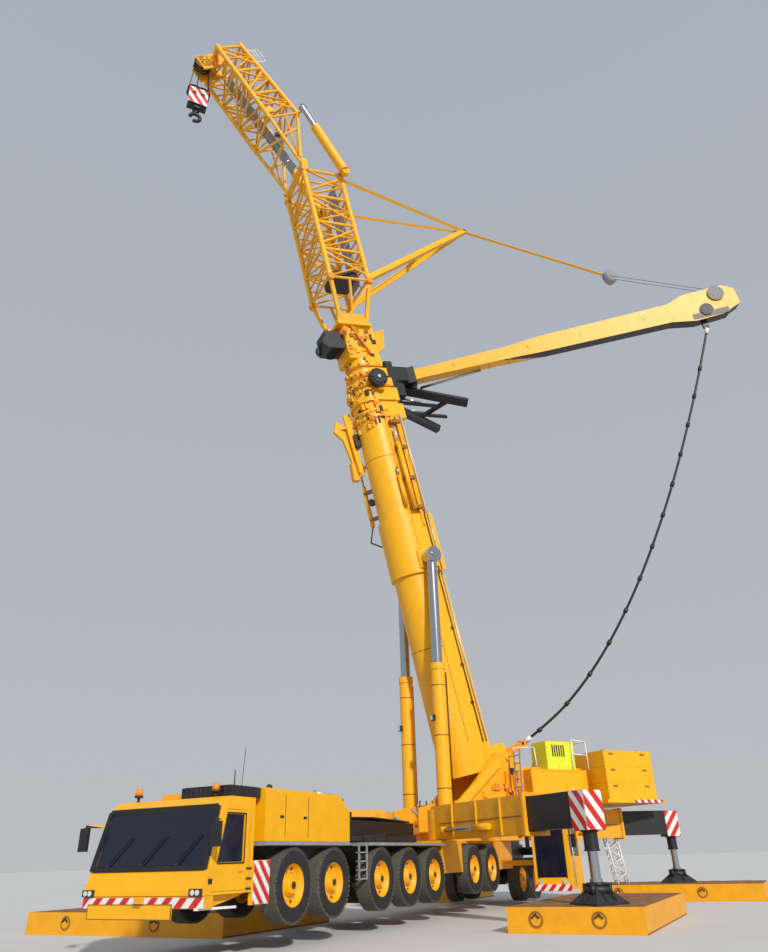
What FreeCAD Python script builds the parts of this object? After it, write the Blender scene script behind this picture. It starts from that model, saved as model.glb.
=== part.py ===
import FreeCAD, Part
import math
import os
import re

# Nine-axle mobile crane standing on its outriggers, millimetres, +Z up.
# Origin: slewing centre of the superstructure, on the ground.  +X is the
# carrier's forward direction, +Y its left side.

os.makedirs("parts", exist_ok=True)
doc = FreeCAD.newDocument("mobile_crane")
V = FreeCAD.Vector

# ---------------------------------------------------------------------------
# Driving dimensions: alias, value, what it measures
# ---------------------------------------------------------------------------
DIMS = [
    ("tyre_radius", 700, "tyre outer radius"),
    ("tyre_width", 420, "tyre section width"),
    ("rim_radius", 400, "visible rim radius"),
    ("wheel_mid", 1260, "wheel centre plane, from the middle of the carrier"),
    ("frame_half", 600, "half width of the chassis frame"),
    ("frame_bottom", 1340, "underside of the chassis frame"),
    ("frame_top", 1960, "top of the chassis frame"),
    ("frame_rear", 7050, "chassis rear end behind the slewing centre"),
    ("frame_front", 12700, "chassis front end ahead of the slewing centre"),
    ("side_half", 1470, "half width over the running boards"),
    ("king_mid", 880, "kingpin distance from the middle"),
    ("ring_radius", 1450, "slewing ring radius"),
    ("ring_bottom", 2130, "underside of the slewing ring"),
    ("ring_top", 2300, "top of the slewing ring"),
    ("arm_x", 2450, "outrigger pivot ahead of or behind the slewing centre"),
    ("arm_y", 1050, "outrigger pivot from the middle"),
    ("arm_bottom", 2050, "underside of an outrigger arm"),
    ("arm_top", 3000, "top of an outrigger arm"),
    ("arm_half", 340, "half width of an outrigger arm"),
    ("arm_reach", 4880, "arm length from its pivot to the end flange"),
    ("arm_wall", 55, "wall of an outrigger arm"),
    ("beam_half", 270, "half width of the sliding beam"),
    ("jack_reach", 6871, "jack distance from the arm pivot, run out"),
    ("jack_drop", 1620, "lower end of the jack barrel"),
    ("pad_top", 975, "top of the foot plate"),
    ("mat_top", 520, "height of the load mats"),
    ("boom_radius", 800, "boom base section half width and belly radius"),
    ("boom_core", 1250, "belly axis below the boom pivot line"),
    ("boom_flat", 350, "boom top below the pivot line"),
    ("boom_wall", 40, "wall of a boom section"),
    ("boom_gap", 80, "step between boom sections, wall and play"),
    ("base_end", 15600, "end of the base section from the pivot"),
    ("luff_y", 1250, "luffing cylinder from the middle"),
    ("barrel_radius", 250, "luffing cylinder barrel radius"),
    ("rod_radius", 190, "luffing cylinder rod radius"),
    ("side_plate", 80, "thickness of the superstructure side plates"),
    ("tail_bottom", 3150, "underside of the superstructure tail"),
    ("ballast_front", 5750, "front face of the counterweight"),
    ("ballast_rear", 8300, "rear face of the counterweight"),
    ("ballast_half", 2200, "half width of the counterweight"),
    ("lattice_half", 1100, "half width of the lattice jib"),
    ("lattice_deep", 1950, "depth of the lattice jib"),
    ("chord_radius", 115, "lattice chord radius"),
    ("brace_radius", 58, "lattice brace radius"),
    ("mast_length", 15000, "guy mast length"),
]
dims = doc.addObject("Spreadsheet::Sheet", "dims")
for row, (alias, value, note) in enumerate(DIMS, start=1):
    dims.set("A%d" % row, note)
    dims.set("B%d" % row, str(value))
    dims.setAlias("B%d" % row, alias)
doc.recompute()
D = {alias: float(value) for alias, value, note in DIMS}
NAMES = re.compile(r"[a-z_]+")

# Poses of the moving groups
SLEW = -37.0            # superstructure heading from the carrier's
LUFF = 77.0             # boom angle above the horizontal
PIVOT_R, PIVOT_Z = -2250.0, 4600.0      # boom pivot behind the centre, height
FOOT_R, FOOT_Z = 500.0, 2700.0          # luffing cylinder foot
EYE_X, EYE_Z = 7800.0, -1000.0          # luffing cylinder eye, boom frame
HINGE_X, HINGE_Z = 27900.0, -2250.0     # jib head hinge, boom frame
JIB_TILT = 25.0                          # jib head bent down from the boom
JBASE_X, JBASE_Z = 27350.0, -300.0      # jib cylinder foot, boom frame
JEYE_X, JEYE_Z = 31180.0, -1740.0       # jib cylinder eye at rest, boom frame

count = [0]


def bind(obj, prop, value):
    """Set a property to a number, or bind it to the dimension sheet."""
    if isinstance(value, str):
        obj.setExpression(prop, NAMES.sub(
            lambda m: "dims." + m.group(0) if m.group(0) in D else m.group(0), value))
    elif "." in prop:
        place = obj.Placement
        base = place.Base
        setattr(base, prop[-1], float(value))
        place.Base = base
        obj.Placement = place
    else:
        setattr(obj, prop, value)


def new(kind, name):
    count[0] += 1
    return doc.addObject(kind, "%s_%d" % (name, count[0]))


def put(obj, at, turn=None):
    """Place an object: at is a point of numbers or sheet expressions."""
    if turn is not None:
        obj.Placement = FreeCAD.Placement(V(0, 0, 0), turn)
    for axis, value in zip("xyz", at):
        bind(obj, "Placement.Base." + axis, value)
    return obj


def box(size, at, turn=None, name="box"):
    """Box whose corner of lowest coordinates lies at the point."""
    o = new("Part::Box", name)
    for prop, value in zip(("Length", "Width", "Height"), size):
        bind(o, prop, value)
    return put(o, at, turn)


def cyl(radius, length, at, axis="z", name="cylinder"):
    """Cylinder from the point, along +x, +y or +z."""
    o = new("Part::Cylinder", name)
    bind(o, "Radius", radius)
    bind(o, "Height", length)
    turn = {"z": FreeCAD.Rotation(),
            "x": FreeCAD.Rotation(V(0, 1, 0), 90),
            "y": FreeCAD.Rotation(V(1, 0, 0), -90)}[axis]
    return put(o, at, turn)


def rod(radius, a, b, name="tube"):
    """Round bar between two points."""
    a, b = V(*a), V(*b)
    o = new("Part::Cylinder", name)
    bind(o, "Radius", radius)
    o.Height = (b - a).Length
    o.Placement = FreeCAD.Placement(a, FreeCAD.Rotation(V(0, 0, 1), b - a))
    return o


def bar(width, depth, a, b, up=(0, 0, 1), name="bar"):
    """Square bar between two points, its depth along up."""
    a, b = V(*a), V(*b)
    o = new("Part::Box", name)
    bind(o, "Width", width)
    bind(o, "Height", depth)
    o.Length = (b - a).Length
    x = (b - a).normalize()
    rise = V(*up) - x * x.dot(V(*up))
    if rise.Length < 1e-6:
        rise = V(1, 0, 0)
    z = rise.normalize()
    y = z.cross(x)
    turn = FreeCAD.Rotation(x, y, z, "XYZ")
    half = turn.multVec(V(0, o.Width.Value / 2.0 if not isinstance(width, str) else D[width] / 2.0,
                          o.Height.Value / 2.0 if not isinstance(depth, str) else D[depth] / 2.0))
    o.Placement = FreeCAD.Placement(a - half, turn)
    return o


def prism(points, depth, at=(0, 0, 0), plane="xz", name="profile"):
    """Extruded outline: plane xz extrudes along +y, xy along +z, yz along +x."""
    o = new("Part::Feature", name)
    turn = {"xz": lambda p: V(p[0], 0, p[1]), "xy": lambda p: V(p[0], p[1], 0),
            "yz": lambda p: V(0, p[0], p[1])}[plane]
    run = {"xz": V(0, depth, 0), "xy": V(0, 0, depth), "yz": V(depth, 0, 0)}[plane]
    pts = [turn(p) for p in points]
    wire = Part.makePolygon(pts + [pts[0]])
    o.Shape = Part.Face(wire).extrude(run)
    o.Placement = FreeCAD.Placement(V(*at), FreeCAD.Rotation())
    return o


def fuse(items, name="union"):
    """One body from many; long lists are joined in pairs."""
    if len(items) == 1:
        return items[0]
    if len(items) > 30:
        layer = list(items)
        while len(layer) > 1:
            pairs = []
            for base, tool in zip(layer[::2], layer[1::2]):
                pair = new("Part::Fuse", name)
                pair.Base = base
                pair.Tool = tool
                pairs.append(pair)
            layer = pairs + ([layer[-1]] if len(layer) % 2 else [])
        return layer[0]
    o = new("Part::MultiFuse", name)
    o.Shapes = items
    return o


def cut(base, tools, name="cut"):
    o = new("Part::Cut", name)
    o.Base = base
    o.Tool = fuse(tools) if isinstance(tools, list) else tools
    return o


NODES = []


def node(label, items, place=None):
    """Finish one sub-part: its solids in one labelled, placed object."""
    o = doc.addObject("Part::Compound", label)
    o.Links = items
    o.Label = label
    if place is not None:
        o.Placement = place
    NODES.append(o)
    return o


def spin(deg, axis=(0, 0, 1)):
    return FreeCAD.Rotation(V(*axis), deg)


SUPER = FreeCAD.Placement(V(0, 0, 0), spin(SLEW))
BOOM = SUPER.multiply(FreeCAD.Placement(V(PIVOT_R, 0, PIVOT_Z), spin(-LUFF, (0, 1, 0))))

# ---------------------------------------------------------------------------
# Wheels, axles and knuckles
# columns: number, x, height of the wheel centre, steered
# ---------------------------------------------------------------------------
AXLES = [
    (1, 11300, 1140, True),
    (2, 9650, 1140, True),
    (3, 7300, 1140, False),
    (4, 5650, 1140, False),
    (5, 4000, 1140, False),
    (6, 800, 1220, False),
    (7, -850, 1220, False),
    (8, -4100, 780, False),
    (9, -5750, 780, False),
]
SIDES = [("left", 1), ("right", -1)]


def wheel(label, x, z, side):
    """Tyre and dished rim in one turned piece, its outer face on +Y."""
    r, w, q = D["tyre_radius"], D["tyre_width"] / 2.0, D["rim_radius"]
    # outline in (y, radius), outer face at +w
    outline = [(-w + 30, q - 20), (-w, q + 60), (-w, r - 90), (-w + 50, r), (w - 50, r),
               (w, r - 90), (w, q + 60), (w - 25, q), (w - 60, q - 15), (w - 150, q - 60),
               (w - 160, 210), (w - 60, 170), (w - 20, 150), (w - 20, 1),
               (w - 110, 1), (w - 110, 150), (w - 200, 180), (w - 210, q - 70),
               (-w + 60, q - 45)]
    o = doc.addObject("Part::Feature", label)
    pts = [V(0, a, b) for a, b in outline]
    face = Part.Face(Part.makePolygon(pts + [pts[0]]))
    o.Shape = face.revolve(V(0, 0, 0), V(0, 1, 0), 360)
    o.Label = label
    o.Placement = FreeCAD.Placement(V(x, side * D["wheel_mid"], z),
                                    FreeCAD.Rotation() if side > 0 else spin(180))
    NODES.append(o)


axle_items = []
for number, x, z, steered in AXLES:
    for side_name, side in SIDES:
        wheel("wheel_%d_%s" % (number, side_name), x, z, side)
    if steered:
        beam = [box((180, 1500, 160), (x - 90, -750, z - 80), name="axle_beam")]
        for side in (1, -1):
            y0 = "king_mid - 140" if side > 0 else "-king_mid - 60"
            beam.append(box((200, 200, 60), (x - 100, y0, z + 100), name="fork_top"))
            beam.append(box((200, 200, 60), (x - 100, y0, z - 160), name="fork_low"))
            beam.append(box((200, 30, 320), (x - 100, 720 if side > 0 else -750, z - 160),
                            name="fork_back"))
        beam.append(box((140, 700, "frame_bottom - %d" % (z + 60)), (x - 70, -350, z + 60),
                        name="hanger"))
        shape = fuse(beam, "axle")
        pins = [cyl(42, 400, (x, side * D["king_mid"], z - 200), name="king_bore")
                for side in (1, -1)]
        axle_items.append(cut(shape, pins, "steered_axle"))
        for side_name, side in SIDES:
            k = D["king_mid"] * side
            lo = (k + 60, k - 60)[side < 0]
            items = [cyl(40, 320, (x, k, z - 160), name="kingpin"),
                     cyl(85, 190, (x, k, z - 95), name="knuckle_barrel"),
                     cyl(90, 430, (x, k + (40 if side > 0 else -470), z), "y", name="spindle"),
                     box((90, 60, 60), (x - 200, k - 30, z - 30), name="steering_arm"),
                     box((160, 60, 60), (x - 160, k - 30, z - 30), name="steering_arm")]
            node("knuckle_%d_%s" % (number, side_name), [fuse(items, "knuckle")])
    else:
        beam = [box((200, 2060, 180), (x - 100, -1030, z - 90), name="axle_beam"),
                cyl(min(220, D["frame_bottom"] - z - 10), 420, (x, -210, z), "y", name="final_drive"),
                box((150, 700, "frame_bottom - %d" % (z + 60)), (x - 75, -350, z + 60),
                    name="hanger")]
        for side in (1, -1):
            beam.append(cyl(140, 330, (x, 1020 if side > 0 else -1350, z), "y", name="hub"))
        axle_items.append(fuse(beam, "axle"))
node("carrier_axles", axle_items)

# ---------------------------------------------------------------------------
# Carrier frame with the outrigger pivot boxes and the ring seat
# ---------------------------------------------------------------------------
frame = [box(("frame_front + frame_rear", "2 * frame_half", "frame_top - frame_bottom"),
             ("-frame_rear", "-frame_half", "frame_bottom"), name="main_beam"),
         box((4440, 2460, "ring_bottom - frame_top - 90"), (-2220, -1230, "frame_top"),
             name="turntable_box"),
         cyl("ring_radius + 60", 100, (0, 0, "ring_bottom - 100"), name="ring_seat")]
# pivot boxes: columns x from, x to
for x0, x1 in [(1570, 3230), (-3330, -1620)]:
    frame.append(box((x1 - x0, 2700, 880), (x0, -1350, 1150), name="pivot_box"))
for sx in (1, -1):
    for sy in (1, -1):
        frame.append(cyl(150, 930, (sx * D["arm_x"], sy * D["arm_y"], 2020),
                         name="arm_pin"))
frame.append(box((250, 2900, 195), (13900, -1450, 880), name="bumper"))
frame.append(box((500, 900, 475), (12200, -450, 870), name="drop_bracket"))
frame.append(box((1750, 900, 190), (12250, -450, 880), name="front_member"))
frame.append(box((120, 160, 110), (14150, -80, 960), name="tow_coupling"))
frame.append(box((60, 2500, 300), (-7110, -1250, 1560), name="rear_member"))
node("carrier_frame", [cut(fuse(frame, "frame"), [cyl(26, 200, (14215, 0, 920), name="tow_bore")])])

# ---------------------------------------------------------------------------
# Deck: running boards over the wheels, equipment boxes, steps
# columns: x from, x to, y from, y to, z from, z to
# ---------------------------------------------------------------------------
DECK = [
    (8960, 12420, 1000, 1470, 1880, 1955),
    (3260, 8000, 1000, 1470, 1880, 1955),
    (3260, 8000, 600, 1010, 1900, 1955),
    (8960, 12420, 600, 1010, 1900, 1955),
    (-1620, 1570, 1270, 1470, 1945, 2000),
]
deck = []
for x0, x1, y0, y1, z0, z1 in DECK:
    for side in (1, -1):
        deck.append(box((x1 - x0, y1 - y0, z1 - z0), (x0, y0 if side > 0 else -y1, z0),
                        name="running_board"))
deck_solids = [fuse([deck[2 * i + s], deck[2 * j + s]]) for i, j in ((0, 3), (1, 2))
               for s in (0, 1)]
centre = [box((5000, 1000, 560), (3300, -500, "frame_top"), name="equipment_box"),
          box((3600, 1000, 200), (-7000, -500, "frame_top"), name="rear_box")]
node("carrier_deck", deck_solids + centre)

# ---------------------------------------------------------------------------
# Engine housing behind the cab, with the engine as one block inside
# ---------------------------------------------------------------------------
hull = prism([(8850, 1960), (12350, 1960), (12350, 2960), (9350, 2960), (8850, 2620)],
             2800, (0, -1400, 0), name="housing_outside")
room = prism([(8900, 2010), (12300, 2010), (12300, 2910), (9370, 2910), (8900, 2590)],
             2700, (0, -1350, 0), name="housing_inside")
block = box((1900, 900, 760), (9700, -450, 2020), name="engine")
node("engine_housing", [cut(hull, room, "housing_shell"), block])

# ---------------------------------------------------------------------------
# Driver's cab: hollow shell, two doors, glass, interior
# ---------------------------------------------------------------------------
CAB_OUT = [(12750, 1080), (14170, 1080), (14170, 1160), (14090, 1500), (13790, 2560),
           (13540, 2740), (12750, 2740)]
CAB_IN = [(12810, 1140), (14100, 1140), (14100, 1170), (14030, 1500), (13735, 2545),
          (13515, 2680), (12810, 2680)]
DOOR = [(12980, 1130), (13950, 1130), (13930, 1500), (13650, 2500), (12980, 2500)]
DOOR_GAP = [(12974, 1124), (13956, 1124), (13937, 1502), (13656, 2506), (12974, 2506)]
DOOR_WIN = [(13060, 1600), (13820, 1600), (13600, 2420), (13060, 2420)]
shell = prism(CAB_OUT, 2880, (0, -1440, 0), name="cab_outside")
inner = prism(CAB_IN, 2760, (0, -1380, 0), name="cab_inside")
holes = [inner,
         prism(DOOR_GAP, 3000, (0, -1500, 0), name="door_openings"),
         prism([(13900, 1560), (14200, 1560), (14200, 2490), (13600, 2490)], 2640,
               (0, -1320, 0), name="screen_opening")]
# the screen opening starts behind the glass plane
cab = cut(shell, holes, "cab_shell")
cab_items = [cab, box((980, 1250, 215), (12400, 50, 2740), name="roof_unit")]
for side in (1, -1):
    cab_items.append(bar(50, 50, (13780, side * 1400, 2300), (14180, side * 1640, 2300)))
    cab_items.append(box((60, 220, 420), (14150, side * 1640 - 110, 1850), name="mirror"))
    cab_items.append(bar(40, 40, (14180, side * 1640, 2280), (14180, side * 1640, 2240)))
    cab_items.append(box((560, 90, 760), (12170, side * 1400 - 45, 860), name="side_board"))
    cab_items.append(box((60, 80, 120), (12700, side * 1400 - 40, 1100), name="board_bracket"))
node("carrier_cab", [fuse(cab_items, "cab")])
screen = prism([(14062, 1562), (14074, 1565), (13806, 2488), (13796, 2482)], 2630,
               (0, -1315, 0), name="windscreen")
node("carrier_cab_glass", [screen])
for side_name, side in SIDES:
    y0 = 1380 if side > 0 else -1440
    panel = prism(DOOR, 60, (0, y0, 0), name="door_panel")
    window = prism(DOOR_WIN, 200, (0, y0 - 70, 0), name="door_window")
    grip = box((160, 30, 50), (13060, 1440 if side > 0 else -1470, 1440), name="handle")
    node("cab_door_" + side_name, [fuse([cut(panel, window), grip])])
inside = []
for y in (650, -650):
    inside.append(fuse([box((480, 500, 220), (12980, y - 250, 1142), name="seat_base"),
                        box((520, 520, 120), (12970, y - 260, 1360), name="cushion"),
                        box((120, 500, 720), (12860, y - 250, 1400), name="backrest")]))
dash = prism([(13650, 1142), (14030, 1142), (14030, 1400), (13900, 1560), (13720, 1560)],
             2500, (0, -1250, 0), name="dashboard")
wheel_ring = new("Part::Torus", "steering_wheel")
wheel_ring.Radius1 = 230
wheel_ring.Radius2 = 20
wheel_ring.Placement = FreeCAD.Placement(V(13580, 650, 1720), spin(-60, (0, 1, 0)))
spokes = fuse([bar(60, 20, (13580, 420, 1720), (13580, 880, 1720), up=(0.866, 0, -0.5)),
               rod(30, (13575, 650, 1722), (13800, 650, 1520))])
inside.append(fuse([dash, wheel_ring, spokes]))
node("carrier_cab_interior", inside)

# ---------------------------------------------------------------------------
# Load mats with the foot plates
# columns: x from, x to, y from, y to, foot x, foot y
# ---------------------------------------------------------------------------
MATS = [
    (1000, 7200, 4600, 7700, 6500, 6600),
    (-8000, -5000, 3300, 9500, -6500, 6600),
    (4600, 9500, -8400, -1700, 6500, -6600),
    (-9500, -4600, -8400, -1700, -6500, -6600),
]
mats = []
for x0, x1, y0, y1, fx, fy in MATS:
    base = box((x1 - x0, y1 - y0, "mat_top"), (x0, y0, 0), name="mat")
    turn = math.degrees(math.atan2(fy - math.copysign(D["arm_y"], fy),
                                   fx - math.copysign(D["arm_x"], fx)))
    foot = new("Part::Feature", "foot_plate")
    lower = Part.makePolygon([V(-470, -470, 0), V(470, -470, 0), V(470, 470, 0),
                              V(-470, 470, 0), V(-470, -470, 0)])
    upper = Part.makePolygon([V(-170, -170, 300), V(170, -170, 300), V(170, 170, 300),
                              V(-170, 170, 300), V(-170, -170, 300)])
    foot.Shape = Part.makeLoft([lower, upper], True, True)
    foot.Placement = FreeCAD.Placement(V(fx, fy, D["mat_top"] + 40), spin(turn))
    sole = box((940, 940, 60), (0, 0, 0), name="sole")
    sole.Placement = FreeCAD.Placement(
        V(fx, fy, D["mat_top"] - 10) + spin(turn).multVec(V(-470, -470, 0)), spin(turn))
    cup = cyl(175, "pad_top - mat_top - 300", (fx, fy, "mat_top + 300"), name="cup")
    mats.append(fuse([base, foot, sole, cup], "mat_and_plate"))
node("outrigger_mats", mats)

# ---------------------------------------------------------------------------
# Outriggers: swinging arm, sliding beam with the jack barrel, jack rod
# columns: name, x side, y side
# ---------------------------------------------------------------------------
CORNERS = [("front_left", 1, 1), ("front_right", 1, -1),
           ("rear_left", -1, 1), ("rear_right", -1, -1)]
for name, sx, sy in CORNERS:
    turn = math.degrees(math.atan2(sy * (6600 - D["arm_y"]), sx * (6500 - D["arm_x"])))
    place = FreeCAD.Placement(V(sx * D["arm_x"], sy * D["arm_y"], 0), spin(turn))
    tube = box(("arm_reach", "2 * arm_half", "arm_top - arm_bottom"),
               (0, "-arm_half", "arm_bottom"), name="arm_box")
    flange = box((90, "2 * arm_half + 110", "arm_top - arm_bottom + 90"),
                 ("arm_reach - 90", "-arm_half - 55", "arm_bottom - 45"), name="end_flange")
    collar = cyl(400, "arm_top - arm_bottom - 100", (0, 0, "arm_bottom"), name="hinge_barrel")
    bore = box(("arm_reach", "2 * (arm_half - arm_wall)",
                "arm_top - arm_bottom - 2 * arm_wall"),
               (600, "-arm_half + arm_wall", "arm_bottom + arm_wall"), name="arm_bore")
    hole = cyl(152, 1400, (0, 0, 1900), name="pin_bore")
    node("outrigger_arm_" + name, [cut(fuse([tube, flange, collar]), [bore, hole])], place)
    slide = box(("jack_reach - 2320", "2 * beam_half", "arm_top - arm_bottom - 2 * arm_wall - 40"),
                (2320, "-beam_half", "arm_bottom + arm_wall + 20"), name="beam")
    head = box((520, 560, 880), ("jack_reach - 260", -280, "arm_bottom"), name="jack_box")
    barrel = cyl(170, "arm_bottom - jack_drop + 20", ("jack_reach", 0, "jack_drop"),
                 name="jack_barrel")
    well = cyl(122, 1220, ("jack_reach", 0, "jack_drop - 20"), name="jack_bore")
    node("outrigger_beam_" + name, [cut(fuse([slide, head, barrel]), [well])], place)
    ram = cyl(120, 1180, ("jack_reach", 0, "pad_top + 5"), name="jack_rod")
    ball = cyl(150, 60, ("jack_reach", 0, "pad_top + 5"), name="rod_end")
    node("outrigger_jack_" + name, [fuse([ram, ball])], place)

# ---------------------------------------------------------------------------
# Operator's cab, lowered beside the carrier
# ---------------------------------------------------------------------------
CABX, CABY = -1000, 3570
shell = box((1650, 1180, 2150), (CABX - 1250, CABY - 590, 560), name="crane_cab_box")
inner = box((1530, 1060, 2030), (CABX - 1190, CABY - 530, 620), name="crane_cab_room")
windows = [inner,
           box((200, 900, 1560), (CABX + 300, CABY - 450, 900), name="front_glass"),
           box((1100, 1400, 900), (CABX - 1000, CABY - 700, 1500), name="side_glass")]
cab_parts = [cut(shell, windows, "crane_cab_shell"),
             box((60, 1240, 200), (CABX + 400, CABY - 620, 520), name="warning_board"),
             box((500, 460, 900), (CABX - 1100, CABY - 230, 610), name="operator_seat"),
             box((180, 160, 160), (CABX - 1300, CABY - 200, 1000), name="bracket")]
arm_parts = [box((160, 1950, 160), (-2380, 1350, 1250), name="cab_carrying_beam"),
             box((1200, 500, 40), (CABX - 1200, CABY + 590, 560), name="step_board")]
node("crane_cab", [fuse(cab_parts + arm_parts, "operator_cab")])

# ---------------------------------------------------------------------------
# Superstructure, in its own frame: +X along the boom
# ---------------------------------------------------------------------------
plate = [(-1950, 2300), (1350, 2300), (1350, 3050), (900, 3150), (-300, 3300),
         (-1850, 4850), (-2450, 4900), (-2750, 4700), (-2900, 4420), (-5700, 4420),
         (-5700, 3150), (-2500, 3150), (-1950, 3000)]
sup = [cyl("ring_radius", "ring_top - ring_bottom", (0, 0, "ring_bottom"), name="slewing_ring"),
       box((3300, 1880, 180), (-1950, -940, "ring_top - 20"), name="base_plate")]
for y in (860, -940):
    sup.append(prism(plate, D["side_plate"], (0, y, 0), name="side_plate"))
sup.append(cyl(150, 1900, (PIVOT_R, -950, PIVOT_Z), "y", name="boom_pin"))
sup.append(box((3300, 1720, 120), (-6000, -860, "tail_bottom"), name="tail_floor"))
sup.append(box((200, 1720, 1000), (-3100, -860, "tail_bottom"), name="cross_wall"))
for y in (940, -1660):
    sup.append(box((900, 720, 240), (-1200, y, "ring_top - 20"), name="foot_beam"))
for y in (1560, -1640):
    sup.append(box((2150, 80, 650), (-1200, y, "ring_top - 20"), name="outer_lug"))
sup.append(cyl(110, 3200, (FOOT_R, -1600, FOOT_Z), "y", name="foot_pin"))
sup.append(box((2500, 500, 1050), (-5500, 930, 3250), name="machinery_box_left"))
sup.append(box((2500, 500, 1050), (-5500, -1430, 3250), name="machinery_box_right"))
sup.append(box((3100, 2600, 120), (-8300, -1300, "tail_bottom"), name="ballast_frame"))
sup.append(box((1000, 1720, 900), (-5700, -860, "tail_bottom"), name="tail_box"))
drums = [cyl(380, 1000, (-4000, -500, 3750), "y", name="winch_drum"),
         box((160, 120, 700), (-4080, -560, "tail_bottom + 60"), name="winch_cheek"),
         box((160, 120, 700), (-4080, 440, "tail_bottom + 60"), name="winch_cheek")]
sup.extend(drums)
sup.append(box((1250, 900, 950), (-5050, 500, 4300), name="winch_box"))
node("turntable", [fuse(sup, "superstructure")], SUPER)

slabs = []
for i, (z0, z1) in enumerate([(3270, 3820), (3825, 4375), (4380, 4930)]):
    slabs.append(prism([(-5750, -2200), (-5750, 2200), (-8000, 2200), (-8300, 1900),
                        (-8300, -1900), (-8000, -2200)], z1 - z0, (0, 0, z0), "xy",
                       name="slab"))
base = box((2700, 4400, 115), (-8350, -2200, 3155), name="ballast_base")
clear = box((3400, 2620, 200), (-8400, -1310, 3100), name="ballast_base_opening")
node("counterweight", [fuse([slabs[0], cut(base, clear)])] + slabs[1:], SUPER)

# ---------------------------------------------------------------------------
# Boom sections, in the boom frame: +X along the boom, +Z on its top side
# columns: name, steps in from the base, x from, x to, collar x from, collar x to
# ---------------------------------------------------------------------------
SECTIONS = [
    ("boom_base", 0, -150, 15600, 15000, 15600),
    ("boom_section_1", 1, 1300, 16150, 15750, 16150),
    ("boom_section_2", 2, 1600, 16700, 16300, 16700),
    ("boom_section_3", 3, 1900, 17300, 16850, 17300),
]


def tube(step, x0, x1, grow):
    """Round-bellied boom outline, grown by a margin."""
    r = "boom_radius - %d * boom_gap + %d" % (step, grow)
    rn = D["boom_radius"] - step * D["boom_gap"] + grow
    top = "boom_core - boom_flat - %d * boom_gap + %d" % (step, grow)
    return fuse([cyl(r, x1 - x0, (x0, 0, "-boom_core"), "x", name="belly"),
                 box((x1 - x0, "2 * (%s)" % r, top), (x0, "-(%s)" % r, "-boom_core"),
                     name="flanks")], "outline")


SIZES = {}
for label, step, x0, x1, c0, c1 in SECTIONS:
    body = [tube(step, x0, x1, 0), tube(step, c0, c1, 90)]
    wall = D["boom_wall"]
    solid_to = x0 + (1000 if step == 0 else 60)
    extra = []
    if label == "boom_base":
        body.append(tube(0, 7300, 9700, 110))
        for y in (1, -1):
            body.append(box((700, 280, 800), (EYE_X - 350, 700 if y > 0 else -980,
                                              EYE_Z - 400), name="luff_lug"))
            body.append(box((900, 190, 900), (-300, 640 if y > 0 else -830, -650),
                            name="foot_plate"))
        body.append(cyl(300, 1660, (0, -830, 0), "y", name="foot_boss"))
        body.append(box((700, 1300, 380), (14250, -650, -380), name="mast_bracket"))
        for y in (80, -120):
            body.append(prism([(-160, 100), (200, 100), (520, 1700), (430, 1800), (300, 1760)],
                              40, (0, y, 0), name="anchor_plate"))
        body.append(box((180, 240, 150), (330, -120, 1560), name="anchor_head"))
        body.append(rod(75, (432.8, -0.4, 1813.3), (370, -90.6, 1698), "anchor_socket"))
        extra = [cyl(152, 2400, (0, -1200, 0), "y", name="pin_bore")]
        snip = box((1400, 2400, 900), (0, -1200, 0), name="foot_snip")
        snip.Placement = FreeCAD.Placement(V(-1150, -1200, -1900), spin(-48, (0, 1, 0)))
        extra.append(snip)
    if label == "boom_section_3":
        body.append(box((1650, 1160, 1500), (17250, -580, -2000), name="head_box"))
        body.append(box((850, 900, 900), (17800, -450, -2890), name="sheave_nose"))
    hollow = tube(step, solid_to, x1 + (100 if step < 3 else -200), -wall)
    node(label, [cut(fuse(body, label + "_outside"), [hollow] + extra)], BOOM)

# ---------------------------------------------------------------------------
# Luffing cylinders: barrels on the superstructure, rods to the boom
# ---------------------------------------------------------------------------
c, s = math.cos(math.radians(LUFF)), math.sin(math.radians(LUFF))
eye_r = PIVOT_R + EYE_X * c - EYE_Z * s
eye_z = PIVOT_Z + EYE_X * s + EYE_Z * c
luff_length = math.hypot(eye_r - FOOT_R, eye_z - FOOT_Z)
luff_angle = math.degrees(math.atan2(eye_z - FOOT_Z, eye_r - FOOT_R))
LUFFING = SUPER.multiply(FreeCAD.Placement(V(FOOT_R, 0, FOOT_Z), spin(-luff_angle, (0, 1, 0))))
barrels, rods = [], []
for y in (1, -1):
    yc = "%s luff_y" % ("" if y > 0 else "-")
    yn = y * D["luff_y"]
    outer = fuse([cyl("barrel_radius", 4950, (150, yc, 0), "x", name="barrel"),
                  cyl("barrel_radius + 25", 220, (4880, yc, 0), "x", name="gland"),
                  cyl(300, 480, (0, yn - 240, 0), "y", name="barrel_eye")])
    barrels.append(cut(outer, [cyl("rod_radius + 3", 4700, (420, yc, 0), "x", name="bore"),
                               cyl(113, 600, (0, yn - 300, 0), "y", name="eye_bore")]))
    rods.append(fuse([cyl("rod_radius", luff_length - 4650, (4650, yc, 0), "x", name="ram"),
                      cyl(310, 480, (luff_length, yn - 240, 0), "y", name="rod_eye"),
                      cyl(110, 540, (luff_length, yn - (265 if y > 0 else 275), 0), "y",
                          name="eye_pin")]))
node("luff_cylinder_barrels", barrels, LUFFING)
node("luff_cylinder_rods", rods, LUFFING)

# ---------------------------------------------------------------------------
# Lattice jib on the boom head, in the boom frame
# ---------------------------------------------------------------------------
half, deep = D["lattice_half"], D["lattice_deep"]
Z_TOP, Z_LOW = -350.0, -350.0 - deep


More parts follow.
